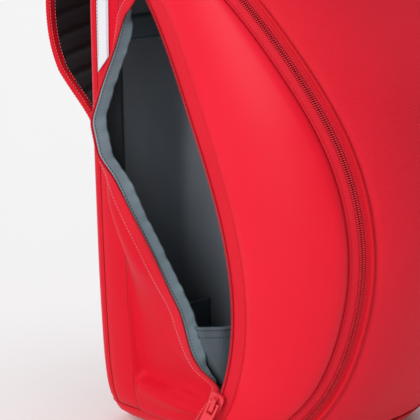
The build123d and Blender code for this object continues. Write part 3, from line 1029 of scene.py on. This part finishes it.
def flap_grid(heights, columns):
    """The pocket's wall: one cloth from its seam on the side to its zipped edge."""
    seam = section_point(side_angle(SEAM_Y - 0.4), heights)
    edge = flap_edge(heights)
    across = edge - seam
    flat = across.copy()
    flat[:, 2] = 0
    span = np.linalg.norm(flat, axis=1, keepdims=True)
    outward = np.stack([flat[:, 1], -flat[:, 0], np.zeros(len(flat))], -1) / np.maximum(span, 1e-6)
    bow = np.where((heights > CLOSED_LOW) & (heights < CLOSED_HIGH), bow_out(heights), 2.0)[:, None]
    middle = (seam + edge) / 2 + outward * 2 * bow
    t = np.linspace(0, 1, columns)[None, :, None]
    return (1 - t) ** 2 * seam[:, None] + 2 * t * (1 - t) * middle[:, None] + t * t * edge[:, None]


def face_normals(grid):
    return unit(np.cross(np.gradient(grid, axis=1), np.gradient(grid, axis=0)))


def from_far_end(row, values, distances):
    """What the values along a row of points are, at distances from the row's far end."""
    along = lengths_along(row)
    return np.stack([np.interp(along[-1] - distances, along, values[:, k]) for k in range(3)], -1)


def fabric_blend(obj):
    """Bakes the object's placement into its mesh."""
    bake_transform(obj)


def flap_piece(obj, material, replaced=()):
    """Gives cloth of the pocket's wall its material, hides the CAD nodes that it stands for and bakes its
    placement.
    """
    dress(obj, material)
    if replaced:
        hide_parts(*replaced)
    fabric_blend(obj)
    return obj


def flap():
    """The pocket's wall with its folds, and the zipper tape, teeth and stitches along its free edge."""
    heights = np.concatenate([np.arange(DOOR_BOTTOM + 0.4, CLOSED_HIGH, 3.2), [CLOSED_HIGH]])
    columns = 46
    grid = flap_grid(heights, columns)
    out = face_normals(grid)
    t = np.linspace(0, 1, columns)[None, :]
    z = heights[:, None]
    width = np.linalg.norm(np.diff(grid, axis=1), axis=-1).sum(1)[:, None]
    from_edge = (1 - t) * width
    from_seam = t * width
    # A crease beside the seam, in the lower part of the wall.
    open_share = np.clip((z - 44.0) / 12.0, 0, 1) * np.clip((205.0 - z) / 60.0, 0, 1)
    crease = -CREASE_DEPTH * (1 - np.exp(-from_seam / 3.0)) * np.exp(-from_seam / 26.0) * open_share
    # A fold across the wall's foot, with a ridge below it.
    above = z - (58.0 - 14.0 * t)
    fold = np.where(above > 0, -FOLD_DEPTH * (1 - np.exp(-above / 3.5)) * np.exp(-above / 28.0), 0.0)
    fold += FOLD_RIDGE * np.exp(-(((above + 6.0) / 6.5) ** 2))
    wave = 1.3 * ripple(grid, 48.0, 31.0) + 0.6 * ripple(grid, 22.0, 33.0)
    # Pleats that fan out from a place near the foot of the mouth.
    turn = np.arctan2(z - PLEAT_FOOT, from_edge + 12.0)
    reach = np.hypot(z - PLEAT_FOOT, from_edge + 12.0)
    fan = PLEAT_DEPTH * np.sin(turn * 19.0) * np.exp(-(((reach - 36.0) / 22.0) ** 2))
    free = np.clip(from_edge / 12.0, 0, 1) * np.clip(from_seam / 10.0, 0, 1)
    # The free edge curls in, and the cloth puckers beside both its edges.
    curl = CURL_DEPTH * np.exp(-((from_edge / 4.0) ** 2))
    pucker = 0.5 * ripple(grid, 8.0, 35.0) * np.exp(-np.minimum(from_edge, from_seam) / 10.0)
    rise = crease + (wave + fan + fold) * free - curl + pucker * free
    grid = grid + out * rise[..., None]
    obj = skin("pocket_wall", grid, -face_normals(grid), 1.4)
    flap_piece(obj, "red_nylon", ["pocket_flap", "pocket_lower_wall"])
    # The wall's inner side gets the near-black lining: painted shade inside the pocket.
    lined(obj, "deep_shade_lining")

    from_edge = np.linspace(TAPE, 0.0, 6)
    tape = np.array([from_far_end(row, row, from_edge) for row in grid])
    tape_out = face_normals(tape)
    tape = tape + tape_out * 0.5
    lined(flap_piece(skin("pocket_wall_tape", tape, -tape_out, 0.9), "red_tape", ["flap_tape"]), "red_tape")

    free_edge = grid[:, -1]
    count = int(round(path_length(free_edge) / TOOTH_PITCH))
    places = resample(free_edge, count)
    facing = resample(tape_out[:, -1], count)
    size = (1.36, TOOTH_WIDTH, 1.2)
    obj = beads_mesh("pocket_wall_teeth", places, directions(places), facing, *size, -0.3)
    flap_piece(obj, "red_coil", ["flap_coil"])
    obj = thread("pocket_wall_stitches", tape[:, 1], tape_out[:, 1], 2.9, FLAP_STITCH)
    flap_piece(obj, "red_thread")
    hem(grid)


def hem(grid):
    """The rippled grey strip inside the pocket's free edge, turned in towards the mouth where it is open."""
    heights = grid[:, -1, 2]
    keep = (heights > CLOSED_LOW - 4) & (heights < CLOSED_HIGH - 8)
    wall_inside = -face_normals(grid)
    mouth = ROOT_HALF * np.array([HEM_ACROSS + HEM_DEPTH, HEM_DEPTH - HEM_ACROSS, 0.0])
    rows = []
    steps = np.linspace(0.0, 1.0, 9)
    from_edge = 2.2 + (HEM - 4.0) * steps
    for r in np.nonzero(keep)[0]:
        share = min(1.0, min(heights[r] - CLOSED_LOW + 4, CLOSED_HIGH - 8 - heights[r]) / 45.0)
        ease = share * share * (3 - 2 * share)
        flat = from_far_end(grid[r], grid[r], from_edge)
        flat += from_far_end(grid[r], wall_inside[r], from_edge) * 2.0
        turned = grid[r, -1] + wall_inside[r, -1] * 1.6 + mouth * (HEM * steps)[:, None]
        rows.append(flat * (1 - ease) + turned * ease)
    strip = np.array(rows)
    strip = np.array([resample(strip[:, c], 300) for c in range(strip.shape[1])]).swapaxes(0, 1)
    out = face_normals(strip)
    across = np.linspace(0, 1, strip.shape[1])[None, :]
    travel = np.linspace(0, FULL_TURN, len(strip))[:, None]
    gather = (0.35 * np.sin(travel * 31) + 0.3 * np.sin(travel * 19 + 1.3)) * across ** 1.5
    gather += 2.0 * ripple(strip, 34.0, 47.0) * across
    ends = np.clip(np.minimum(travel, FULL_TURN - travel) / 0.25, 0, 1)
    strip = strip + out * (gather * ends)[..., None]
    obj = flap_piece(skin("pocket_hem", strip, -out, 0.8), "grey_lining", ["flap_hem"])
    lined(obj, "grey_lining")
    flap_piece(thread("pocket_hem_stitches", strip[:, 1], out[:, 1], 3.0, THIN_STITCH), "grey_thread")


def lining_route(z):
    """The pocket's inside at one height, from the zipper round its front, inner and rear walls."""
    front_y = float(lining_front(z))
    start = pocket_spot(z, gap=-3.0)[None]
    start = start - normals(start) * 3.5
    corners = [
        start[0],
        (LINING_X - 26, front_y + 1, z), (LINING_X, front_y + 6, z), (LINING_X, front_y + 20, z),
        (LINING_X, LINING_BACK_Y - 18, z), (LINING_X - 6, LINING_BACK_Y, z),
        (LINING_X - 26, LINING_BACK_Y, z), (3.0 - float(half_width(z)), SEAM_Y + 3.0, z),
    ]
    line = resample(np.array(corners, float), 90)
    roundings = 10
    for _ in range(roundings):
        line[1:-1] = (line[:-2] + 2 * line[1:-1] + line[2:]) / 4
    return line


def pocket_inside():
    """The pocket's lining, its floor and ceiling, the sewn band round it and the cup for a can."""
    heights = np.arange(LINING_LOW, LINING_HIGH, 4.0)
    grid = np.array([lining_route(z) for z in heights])
    grid = grid[:, ::-1]
    out = face_normals(grid)
    sag = 1.3 * ripple(grid, 55.0, 41.0) + 0.5 * ripple(grid, 17.0, 42.0)
    grid = grid + out * sag[..., None]
    # The liner takes the lining cloth painted darker, as shade inside the pocket.
    obj = cloth_wall(
        "pocket_liner", grid, -out, LINER_THICK, "shaded_liner_cloth", "shaded_liner_cloth", "left_door", ["pocket_lining"],
    )

    for tag, at in (("floor", 0), ("ceiling", len(grid) - 1)):
        rim = grid[at]
        inner_row = np.linspace(rim[0], rim[-1], len(rim))
        inner_row += INWARD * (14.0 * np.sin(np.linspace(0, math.pi, len(rim))) ** 0.5)[:, None]
        sheet = np.array([inner_row + (rim - inner_row) * share for share in np.linspace(0, 1, 12)])
        sheet = sheet + UPWARDS * ripple(sheet, 30.0, 43.0)[..., None]
        obj = cloth_wall("pocket_" + tag, sheet, -UPWARDS, 1.0, "shaded_liner_cloth", "shaded_liner_cloth", "left_door")

    lining_band(grid, heights)
    pouch()


def lining_band(grid, heights):
    """The sewn band round the upper part of the pocket's lining."""
    rows = []
    for z in np.linspace(BAND_LOW, BAND_HIGH, 6):
        at = np.clip(np.searchsorted(heights, z) - 1, 0, len(heights) - 2)
        share = (z - heights[at]) / (heights[at + 1] - heights[at])
        rows.append(grid[at] * (1 - share) + grid[at + 1] * share)
    strip = np.array(rows)
    face = face_normals(strip)[:, :-6]
    strip = strip[:, :-6] + face
    obj = cloth_wall("pocket_upper_band", strip, -face, 0.8, "shade_lining", "shade_lining", "left_door")
    for edge, row, inset in (("low", 0, 1.6), ("high", -1, -1.6)):
        name = f"pocket_upper_band_{edge}_stitches"
        obj = thread(name, strip[row] + UPWARDS * inset, face[row], 3.6, BAND_STITCH)
        piece(obj, "grey_thread", "left_door")


def pouch():
    """The cloth cup that holds a can of balls upright: sewn at both ends to the pocket's inner wall."""
    cx, cy = POUCH_CENTRE
    radius = POUCH_RADIUS
    turn = np.radians(np.linspace(90, 270, 60))
    bend = np.stack([cx + radius * np.cos(turn), cy + radius * np.sin(turn)], -1)
    rear_end, front_end = (LINING_X - 1.0, cy + radius + 1.0), (LINING_X - 1.0, cy - radius + 2.0)
    route = np.concatenate([[rear_end], bend, [front_end]])
    route = resample(np.concatenate([route, np.zeros((len(route), 1))], 1), 110)
    lower, upper = np.linspace(LINING_LOW + 2.6, POUCH_TOP - 9, 20), np.linspace(POUCH_TOP - 8, POUCH_TOP, 6)
    heights = np.concatenate([lower, upper])
    grid = np.repeat(route[None], len(heights), 0)
    grid[..., 2] = heights[:, None]
    hub = np.array([cx + 8.0, cy + 6.0, 0.0]) + grid * UPWARDS
    low, high = np.zeros(grid.shape[:2]), np.ones(grid.shape[:2])
    margin = INWARD * np.interp(heights, [70.0, 112.0], [20.0, 8.0])[:, None, None]
    for _ in range(16):
        share = (low + high) / 2
        spot = hub + (grid - hub) * share[..., None]
        outside = level(spot - margin) > 0
        low, high = np.where(outside, low, share), np.where(outside, share, high)
    grid = hub + (grid - hub) * low[..., None]
    up = ((heights - LINING_LOW) / (POUCH_TOP - LINING_LOW))[:, None]
    away = np.abs(np.linspace(-1, 1, grid.shape[1]))[None, :]
    folds = (1.0 * ripple(grid, 26.0, 48.0) + 0.5 * np.sin(away * 34.0)) * up * (1 - away ** 6) - 1.0
    grid = grid + face_normals(grid) * folds[..., None]
    out = face_normals(grid)
    obj = cloth_wall(
        "can_pouch", grid, -out, LINER_THICK, "shade_lining", "shade_lining", "left_door", ["ball_can_pouch"],
    )
    piece(tube_mesh("can_pouch_hem", grid[-1], 1.7, 8, UPWARDS), "shade_lining", "left_door")
    obj = thread("can_pouch_stitches", grid[-6], out[-6], 3.0, THIN_STITCH)
    piece(obj, "grey_thread", "left_door")


# ---------------------------------------------------------------- divider and kept CAD nodes
def divider():
    """The cloth wall between the two racket compartments, bound along its front edge."""
    heights = np.linspace(14, 498, 80)
    rows = []
    for z in heights:
        y_front = -float(front_depth(z)) + 8.0
        y = np.linspace(y_front, BACK_Y - 13, 50)
        rows.append(np.stack([np.full_like(y, 3.0), y, np.full_like(y, z)], -1))
    grid = np.array(rows)
    bulge = 0.8
    grid[..., 0] += np.clip(bulge * ripple(grid, 80.0, 51.0), -bulge, bulge)
    name, node = "compartment_divider", "centre_divider"
    cloth_wall(name, grid, -ACROSS_BAG, 6.0, "foam", "foam", "shell", [node])
    edge = grid[:, 0] - np.array([3.0, 0.6, 0.0])
    piece(tube_mesh("divider_binding", edge, 3.6, CORD_SIDES, -TO_BACK), "deep_shade_lining", "shell")


def keep_node(node, material, bevel=0.4):
    """A CAD node whose shape is right: softened edges and its own finish."""
    obj = frame["nodes"][node]
    obj.data.materials.clear()
    obj.data.materials.append(materials[material])
    for face in obj.data.polygons:
        face.material_index = 0
    modifier = obj.modifiers.new("soft edges", "BEVEL")
    modifier.width = bevel / 1000
    modifier.segments = 3
    modifier.limit_method = "ANGLE"
    modifier.angle_limit = math.radians(40)
    modifier.harden_normals = True


# ---------------------------------------------------------------- straps, webbing, back pads and handle
def ribbon(name, path, across, width, thick):
    """A flat strap with rounded edges along a path. across is the direction of its width."""
    face = unit(np.cross(across, directions(path)))
    steps = np.linspace(-1, 1, 9)
    ring = np.concatenate([np.stack([steps, np.ones(9)], -1), np.stack([-steps, -np.ones(9)], -1)])
    round_off = 1 - 0.55 * np.clip((np.abs(ring[:, 0]) - 0.8) / 0.2, 0, 1) ** 2
    x = ring[:, 0:1] * width / 2
    y = (ring[:, 1] * thick / 2 * round_off)[:, None]
    rings = path[:, None] + across * x + face[:, None] * y
    return turned_out(rings_mesh(name, rings, x[:, 0], lengths_along(path)[:, None]))


def strap_width(z):
    """A shoulder strap's width at a height: it narrows towards its lower end."""
    return np.interp(z, [230, 262, 320, 600], [STRAP_END_WIDTH, STRAP_END_WIDTH, STRAP_WIDTH, STRAP_WIDTH])


def strap(side, sign):
    """A padded shoulder strap: quilted mesh towards the wearer, red cloth outside, bound all round."""
    body = side + "_strap"
    line = np.array([(sign * STRAP_X, y, z) for y, z in STRAP_LINE], float)
    path = curve_through(line, 150)
    along = directions(path)
    face = np.cross(ACROSS_BAG, along)
    face *= np.sign(face[:, 1:2])
    width = strap_width(path[:, 2])
    length = lengths_along(path)
    total = length[-1]
    taper = np.sqrt(np.clip(np.minimum(length, total - length) / 12.0, 0.12, 1))
    columns = 33
    across = np.linspace(-1, 1, columns)
    body_half = (width / 2 - BINDING * 0.5)[:, None] * across[None, :]
    arch = np.sqrt(np.clip(1 - np.abs(across) ** 3.2, 0, 1))[None, :]
    rib = 0.5 + 0.5 * np.cos(FULL_TURN * (length[:, None] + body_half * 0.23) / RIB_PITCH)
    rib = 1 - (1 - rib) ** 4 * 0.62
    thick = STRAP_THICK / 2 * taper[:, None] * (0.25 + 0.75 * arch)
    inner = -(thick * rib + 0.2 * ripple(np.repeat(path[:, None], columns, 1), 30.0, 61.0))
    outer = thick * (0.92 + 0.05 * np.cos(FULL_TURN * length[:, None] / 60.0))
    centre = path[:, None] + ACROSS_BAG * body_half[..., None]
    outside, inside = (centre + face[:, None] * offset[..., None] for offset in (outer, inner))
    obj = turned_out(wall_mesh(side + "_strap_pad", outside, inside))
    piece(obj, "red_woven", body, [side + "_strap_padding"])
    lined(obj, "dark_mesh")

    for tag, way in (("outer", 1.0), ("inner", -1.0)):
        edge_path = path + ACROSS_BAG * (way * (width / 2 - BINDING * 0.5))[:, None]
        tall = STRAP_THICK * 0.5 * taper
        obj = binding(f"{side}_strap_{tag}_binding", edge_path, face, tall)
        nodes = [side + "_strap_binding"] if tag == "outer" else ()
        piece(obj, "red_piping", body, nodes)
        for row, offset in enumerate((-2.9, 2.9)):
            for near, lift in (("front", -1.0), ("rear", 1.0)):
                line = edge_path + ACROSS_BAG * offset + face * (lift * tall * 0.62)[:, None]
                name = f"{side}_strap_{tag}_{near}_stitches_{row}"
                obj = thread(name, line[4:-4], face[4:-4] * lift, 3.0, STRAP_STITCH)
                piece(obj, "red_thread", body)


def binding(name, path, face, tall):
    """A flat tape folded over a strap's padded edge. face is the strap's outward direction at each point."""
    ring = np.radians(np.arange(0, 360, 22.5))
    shape = np.stack([signed_power(np.cos(ring), 0.55), signed_power(np.sin(ring), 0.8)], -1)
    across = shape[:, 0] * BINDING / 2
    rings = (
        path[:, None]
        + ACROSS_BAG * across[None, :, None]
        + face[:, None] * (shape[:, 1][None, :] * (tall / 2 * 1.25)[:, None])[..., None]
    )
    return turned_out(rings_mesh(name, rings, across[None], lengths_along(path)[:, None]))


def turned_out(obj):
    """Turns every face of a closed mesh outwards."""
    mesh = bmesh.new()
    mesh.from_mesh(obj.data)
    bmesh.ops.recalc_face_normals(mesh, faces=mesh.faces)
    mesh.to_mesh(obj.data)
    mesh.free()
    return obj


def strap_webbing(side, sign):
    """The webbing below a strap, its loose tail, its buckle and the patches it is sewn to."""
    x = sign * STRAP_X
    low = np.array([x, BACK_Y + 5.5, LOWER_ANCHOR_Z - 8])
    high = np.array([x, 124.5, BUCKLE_Z + 10])
    share = np.linspace(0, 1, 60)[:, None]
    path = low + (high - low) * share
    path[:, 1] += 1.2 * np.sin(np.pi * share[:, 0])
    body = side + "_webbing"
    obj = ribbon(side + "_lower_webbing", path, ACROSS_BAG, WEBBING, WEBBING_THICK)
    piece(obj, "webbing", body, [side + "_strap_webbing"])

    tail_y, tail_top, tail_end = 132.4, 228, 134
    tail_z = np.linspace(tail_top, tail_end, 50)
    tail = np.stack([np.full_like(tail_z, x), tail_y + 1.4 * np.sin((tail_top - tail_z) / 30), tail_z], -1)
    obj = ribbon(side + "_tail", tail, ACROSS_BAG, WEBBING, WEBBING_THICK)
    piece(obj, "webbing", side + "_strap", [side + "_webbing_tail"])
    fold = np.array([(0, 0, 14), (0, 1.6, 9), (0, 1.8, 3), (0, 1.2, 0), (0, 0, -1)]) + tail[-1]
    obj = ribbon(side + "_tail_fold", curve_through(fold, 16), ACROSS_BAG, WEBBING + 0.6, WEBBING_THICK)
    piece(obj, "webbing", side + "_strap")
    keep_node(side + "_ladder_lock", "black_plastic", 0.8)

    patch(side + "_lower_patch", x, 39.0, 34.0, 18.0, 3.4, [side + "_lower_anchor"])
    patch(side + "_upper_patch", x, 518.0, 60.0, 24.0, 6.0, [side + "_upper_anchor"])


def stitch_route(corners, steps):
    """Points along the straight lines between corners."""
    share = np.arange(steps)[:, None] / steps
    corners = np.array(corners)
    return np.concatenate([p + (q - p) * share for p, q in zip(corners, corners[1:])])


def patch(name, x, z, width, height, thick, nodes):
    """A sewn reinforcement patch on the back, with a box of stitches round it."""
    s = np.linspace(-1, 1, 25)
    t = np.linspace(-1, 1, 17)
    grid = np.zeros((17, 25, 3))
    grid[..., 0] = x - s[None, :] * width / 2
    grid[..., 2] = z + t[:, None] * height / 2
    dome = (1 - np.abs(s[None, :]) ** 8) * (1 - np.abs(t[:, None]) ** 8)
    grid[..., 1] = BACK_Y + CLEAR + 0.8 + (thick - 0.8) * dome ** 0.5
    cloth_wall(name, grid, -TO_BACK, 0.8, "webbing", "webbing", "shell", nodes)
    a, b = width / 2 - 3.0, height / 2 - 3.0
    corners = [(-a, -b), (a, -b), (a, b), (-a, b), (-a, -b), (a, b), (a, -b), (-a, b)]
    route = stitch_route([(x + p, BACK_Y + CLEAR + thick, z + q) for p, q in corners], 12)
    piece(thread(name + "_stitches", route, TO_BACK, 3.8, PATCH_STITCH, -0.1), "red_thread", "shell")


def back_pad(side, sign):
    """A quilted back pad: mesh over foam, with sewn cross channels."""
    near, far = PAD_EDGES
    low, high = PAD_HEIGHTS
    columns = np.linspace(far, near, 40)
    if sign < 0:
        columns = -np.linspace(near, far, 40)
    rows = np.linspace(low, high, 130)
    x, z = np.meshgrid(columns, rows)
    half_x, half_z = (far - near) / 2, (high - low) / 2
    mid_x, mid_z = sign * (near + far) / 2, (low + high) / 2
    radius = 22.0
    dx = np.maximum(np.abs(x - mid_x) - (half_x - radius), 0)
    dz = np.maximum(np.abs(z - mid_z) - (half_z - radius), 0)
    over = np.hypot(dx, dz) / radius
    shrink = np.where(over > 1, 1 / np.maximum(over, 1e-6), 1.0)
    x = np.where(over > 1, mid_x + np.sign(x - mid_x) * ((half_x - radius) + dx * shrink), x)
    z = np.where(over > 1, mid_z + np.sign(z - mid_z) * ((half_z - radius) + dz * shrink), z)
    edge = np.clip((1 - np.minimum(over, 1)) * radius, 0, None)
    edge = np.minimum(edge, np.minimum(half_x - np.abs(x - mid_x), half_z - np.abs(z - mid_z)))
    crown = quarter_round(edge / 12.0)
    channel = np.abs(np.sin(math.pi * (z - low) / PAD_RIBS))
    quilt = 0.55 + 0.45 * np.clip(channel * 2.2, 0, 1) ** 0.6
    y = BACK_Y + CLEAR + 0.6 + (PAD - 1.2) * crown * quilt
    grid = np.stack([x, y, z], -1)
    depth = (y - BACK_Y - CLEAR)[..., None]
    obj = turned_out(wall_mesh(side + "_back_cushion", grid, grid - TO_BACK * depth))
    piece(obj, "dark_mesh", "shell", [side + "_back_pad"])
    lined(obj, "dark_mesh")
    border = []
    for angle in np.linspace(0, FULL_TURN, 240, endpoint=False):
        spot = []
        for middle, half, turn in ((mid_x, half_x, math.cos(angle)), (mid_z, half_z, math.sin(angle))):
            straight = (half - radius) * np.sign(round(turn, 6)) * min(1, abs(turn) * 30)
            spot.append(middle + straight + radius * turn)
        border.append((spot[0], BACK_Y + 1.4, spot[1]))
    border = resample(np.array(border + border[:1]), 260)
    piece(tube_mesh(side + "_back_pad_piping", border, 1.7, 8, TO_BACK), "red_piping", "shell")


def handle():
    """The grab handle: webbing sewn to two feet, with a padded grip round its middle."""
    feet = HEIGHT + 3.5
    radius = (HANDLE_HALF**2 + HANDLE_RISE**2) / (2 * HANDLE_RISE)
    reach = math.asin(HANDLE_HALF / radius)
    if HANDLE_RISE > HANDLE_HALF:
        reach = math.pi - reach

    def arch(start, end, count):
        angle = np.linspace(-reach + 2 * reach * start, -reach + 2 * reach * end, count)
        x = radius * np.sin(angle)
        z = feet + HANDLE_RISE - radius + radius * np.cos(angle)
        return np.stack([x, np.full_like(x, HANDLE_Y), z], -1)

    gap = STUB_END + 0.012
    obj = ribbon("handle_strap", arch(gap, 1 - gap, 60), TO_BACK, HANDLE_WIDTH, HANDLE_THICK)
    piece(obj, "webbing", "top_handle", ["handle_webbing"])
    grip_path = arch(0.265, 0.735, 70)
    turn = np.radians(np.arange(0, 360, 15))
    up = np.cross(directions(grip_path), TO_BACK)
    up *= np.sign(up[:, 2:3])
    share = np.linspace(-1, 1, 70)
    full = np.sqrt(np.clip(1 - np.abs(share) ** 10, 0.05, 1)) * (1 + 0.05 * (1 - share**2))
    wide = signed_power(np.cos(turn), 0.5) * (HANDLE_WIDTH + 3.5) / 2
    high = signed_power(np.sin(turn), 0.8) * 5.2
    rings = (
        grip_path[:, None]
        + TO_BACK * (full[:, None] * wide[None])[..., None]
        + up[:, None] * (full[:, None] * high[None])[..., None]
    )
    obj = turned_out(rings_mesh("handle_cushion", rings, turn[None] * 8.0, np.linspace(0, 62, 70)[:, None]))
    piece(obj, "dark_mesh", "top_handle", ["handle_grip"])
    for tag, lift in (("upper", 5.25), ("lower", -5.25)):
        for y in (-9.5, 9.5):
            line = grip_path[3:-3] + up[3:-3] * lift + TO_BACK * y
            name = f"handle_{tag}_stitches_{'front' if y < 0 else 'rear'}"
            obj = thread(name, line, up[3:-3] * np.sign(lift), 3.8, GRIP_STITCH, 0.0)
            piece(obj, "red_thread", "top_handle")
    for side, sign in (("left", -1), ("right", 1)):
        stub = arch(0.0, STUB_END, 14) if sign < 0 else arch(1 - STUB_END, 1.0, 14)[::-1]
        foot = [(sign * (HANDLE_HALF + reach_out), HANDLE_Y, HEIGHT + 1.4) for reach_out in (18, 6)]
        route = curve_through(np.concatenate([foot, stub])[[0, 1, 3, 8, 15]], 40)
        obj = ribbon(side + "_handle_foot", route, TO_BACK, HANDLE_WIDTH, HANDLE_THICK)
        piece(obj, "webbing", "shell", [side + "_handle_anchor"])
        x0, x1, y0, y1 = HANDLE_HALF + 4, HANDLE_HALF + 17, HANDLE_Y - 9, HANDLE_Y + 9
        corners = [(x0, y0), (x1, y0), (x1, y1), (x0, y1), (x0, y0), (x1, y1)]
        route = stitch_route([(sign * p, q, HEIGHT + 2.9) for p, q in corners], 8)
        obj = thread(side + "_handle_stitches", route, UPWARDS, 3.4, FOOT_STITCH, 0.0)
        piece(obj, "red_thread", "shell")


# ---------------------------------------------------------------- put together
base()
top()
back()
front()
ring_seams()
for side, flip in (("left", False), ("right", True)):
    zipper(side, flip)
    hinge_seam(side, flip)
    door(side, flip)
left_side()
right_side()
flap()
pocket_inside()
divider()
keep_node("base_board", "board")
keep_node("back_frame_sheet", "board")
for name in ("pocket", "left_door", "right_door"):
    keep_node(name + "_slider", "red_metal", 0.5)
    keep_node(name + "_pull", "red_metal", 0.5)
for side, sign in (("left", -1), ("right", 1)):
    strap(side, sign)
    strap_webbing(side, sign)
    back_pad(side, sign)
handle()


# ---------------------------------------------------------------- floor, light and camera
def floor():
    """A pale floor under the bag, which belongs to the picture and not to the part."""
    material, nodes, links, shader = tree_of("pale floor")
    cloud = add(nodes, "ShaderNodeTexNoise", Scale=3.0, Detail=3.0)
    ramp = add(nodes, "ShaderNodeValToRGB")
    ramp.color_ramp.elements[0].color = (0.90, 0.90, 0.91, 1)
    ramp.color_ramp.elements[1].color = (0.94, 0.94, 0.945, 1)
    links.new(cloud.outputs["Fac"], ramp.inputs["Fac"])
    links.new(ramp.outputs["Color"], shader.inputs["Base Color"])
    shader.inputs["Roughness"].default_value = 0.9
    shader.inputs["Specular IOR Level"].default_value = 0.1
    mesh = bpy.data.meshes.new("floor")
    size = 7.0
    corners = [(-size, -size, 0), (size, -size, 0), (size, size, 0), (-size, size, 0)]
    mesh.from_pydata(corners, [], [(0, 1, 2, 3)])
    mesh.materials.append(material)
    obj = bpy.data.objects.new("floor", mesh)
    bpy.context.scene.collection.objects.link(obj)


def sun(name, direction, strength, softness):
    """Soft, even light from a direction, which points from the bag to the light."""
    light = bpy.data.lights.new(name, "SUN")
    light.energy = strength
    light.angle = math.radians(softness)
    obj = bpy.data.objects.new(name, light)
    bpy.context.scene.collection.objects.link(obj)
    obj.rotation_euler = Vector(direction).to_track_quat("Z", "Y").to_euler()


def studio():
    """An even white studio: the floor, the room's own light and three soft suns."""
    floor()
    world = bpy.data.worlds.new("studio")
    bpy.context.scene.world = world
    world.use_nodes = True
    background = world.node_tree.nodes["Background"]
    background.inputs["Color"].default_value = (1.0, 1.0, 1.0, 1)
    background.inputs["Strength"].default_value = 0.26
    sun("key", (-0.90, -0.12, 0.46), 2.35, 40)
    sun("overhead", (0.1, -0.05, 1.0), 1.0, 60)
    sun("back light", (0.5, 0.8, 0.5), 0.5, 60)
    bpy.context.scene.view_settings.view_transform = "Standard"


def camera():
    """The photo's camera: it looks at the bag's left front corner from a little above."""
    data = bpy.data.cameras.new("camera")
    data.lens = SENSOR / PHOTO_SIZE * PIXELS_PER_MM * CAMERA_DISTANCE
    data.sensor_width = SENSOR
    data.clip_end = 100
    obj = bpy.data.objects.new("camera", data)
    bpy.context.scene.collection.objects.link(obj)
    look = Vector(to_frame(np.array([-LOOK_LEFT * ROOT_HALF, LOOK_LEFT * ROOT_HALF, LOOK_HEIGHT])))
    turn, rise = math.radians(CAMERA_AZIMUTH), math.radians(CAMERA_ELEVATION)
    back = Vector((math.sin(turn) * math.cos(rise), -math.cos(turn) * math.cos(rise), math.sin(rise)))
    obj.location = look + back * CAMERA_DISTANCE / 1000
    obj.rotation_euler = (-back).to_track_quat("-Z", "Y").to_euler()
    bpy.context.scene.camera = obj


studio()
camera()
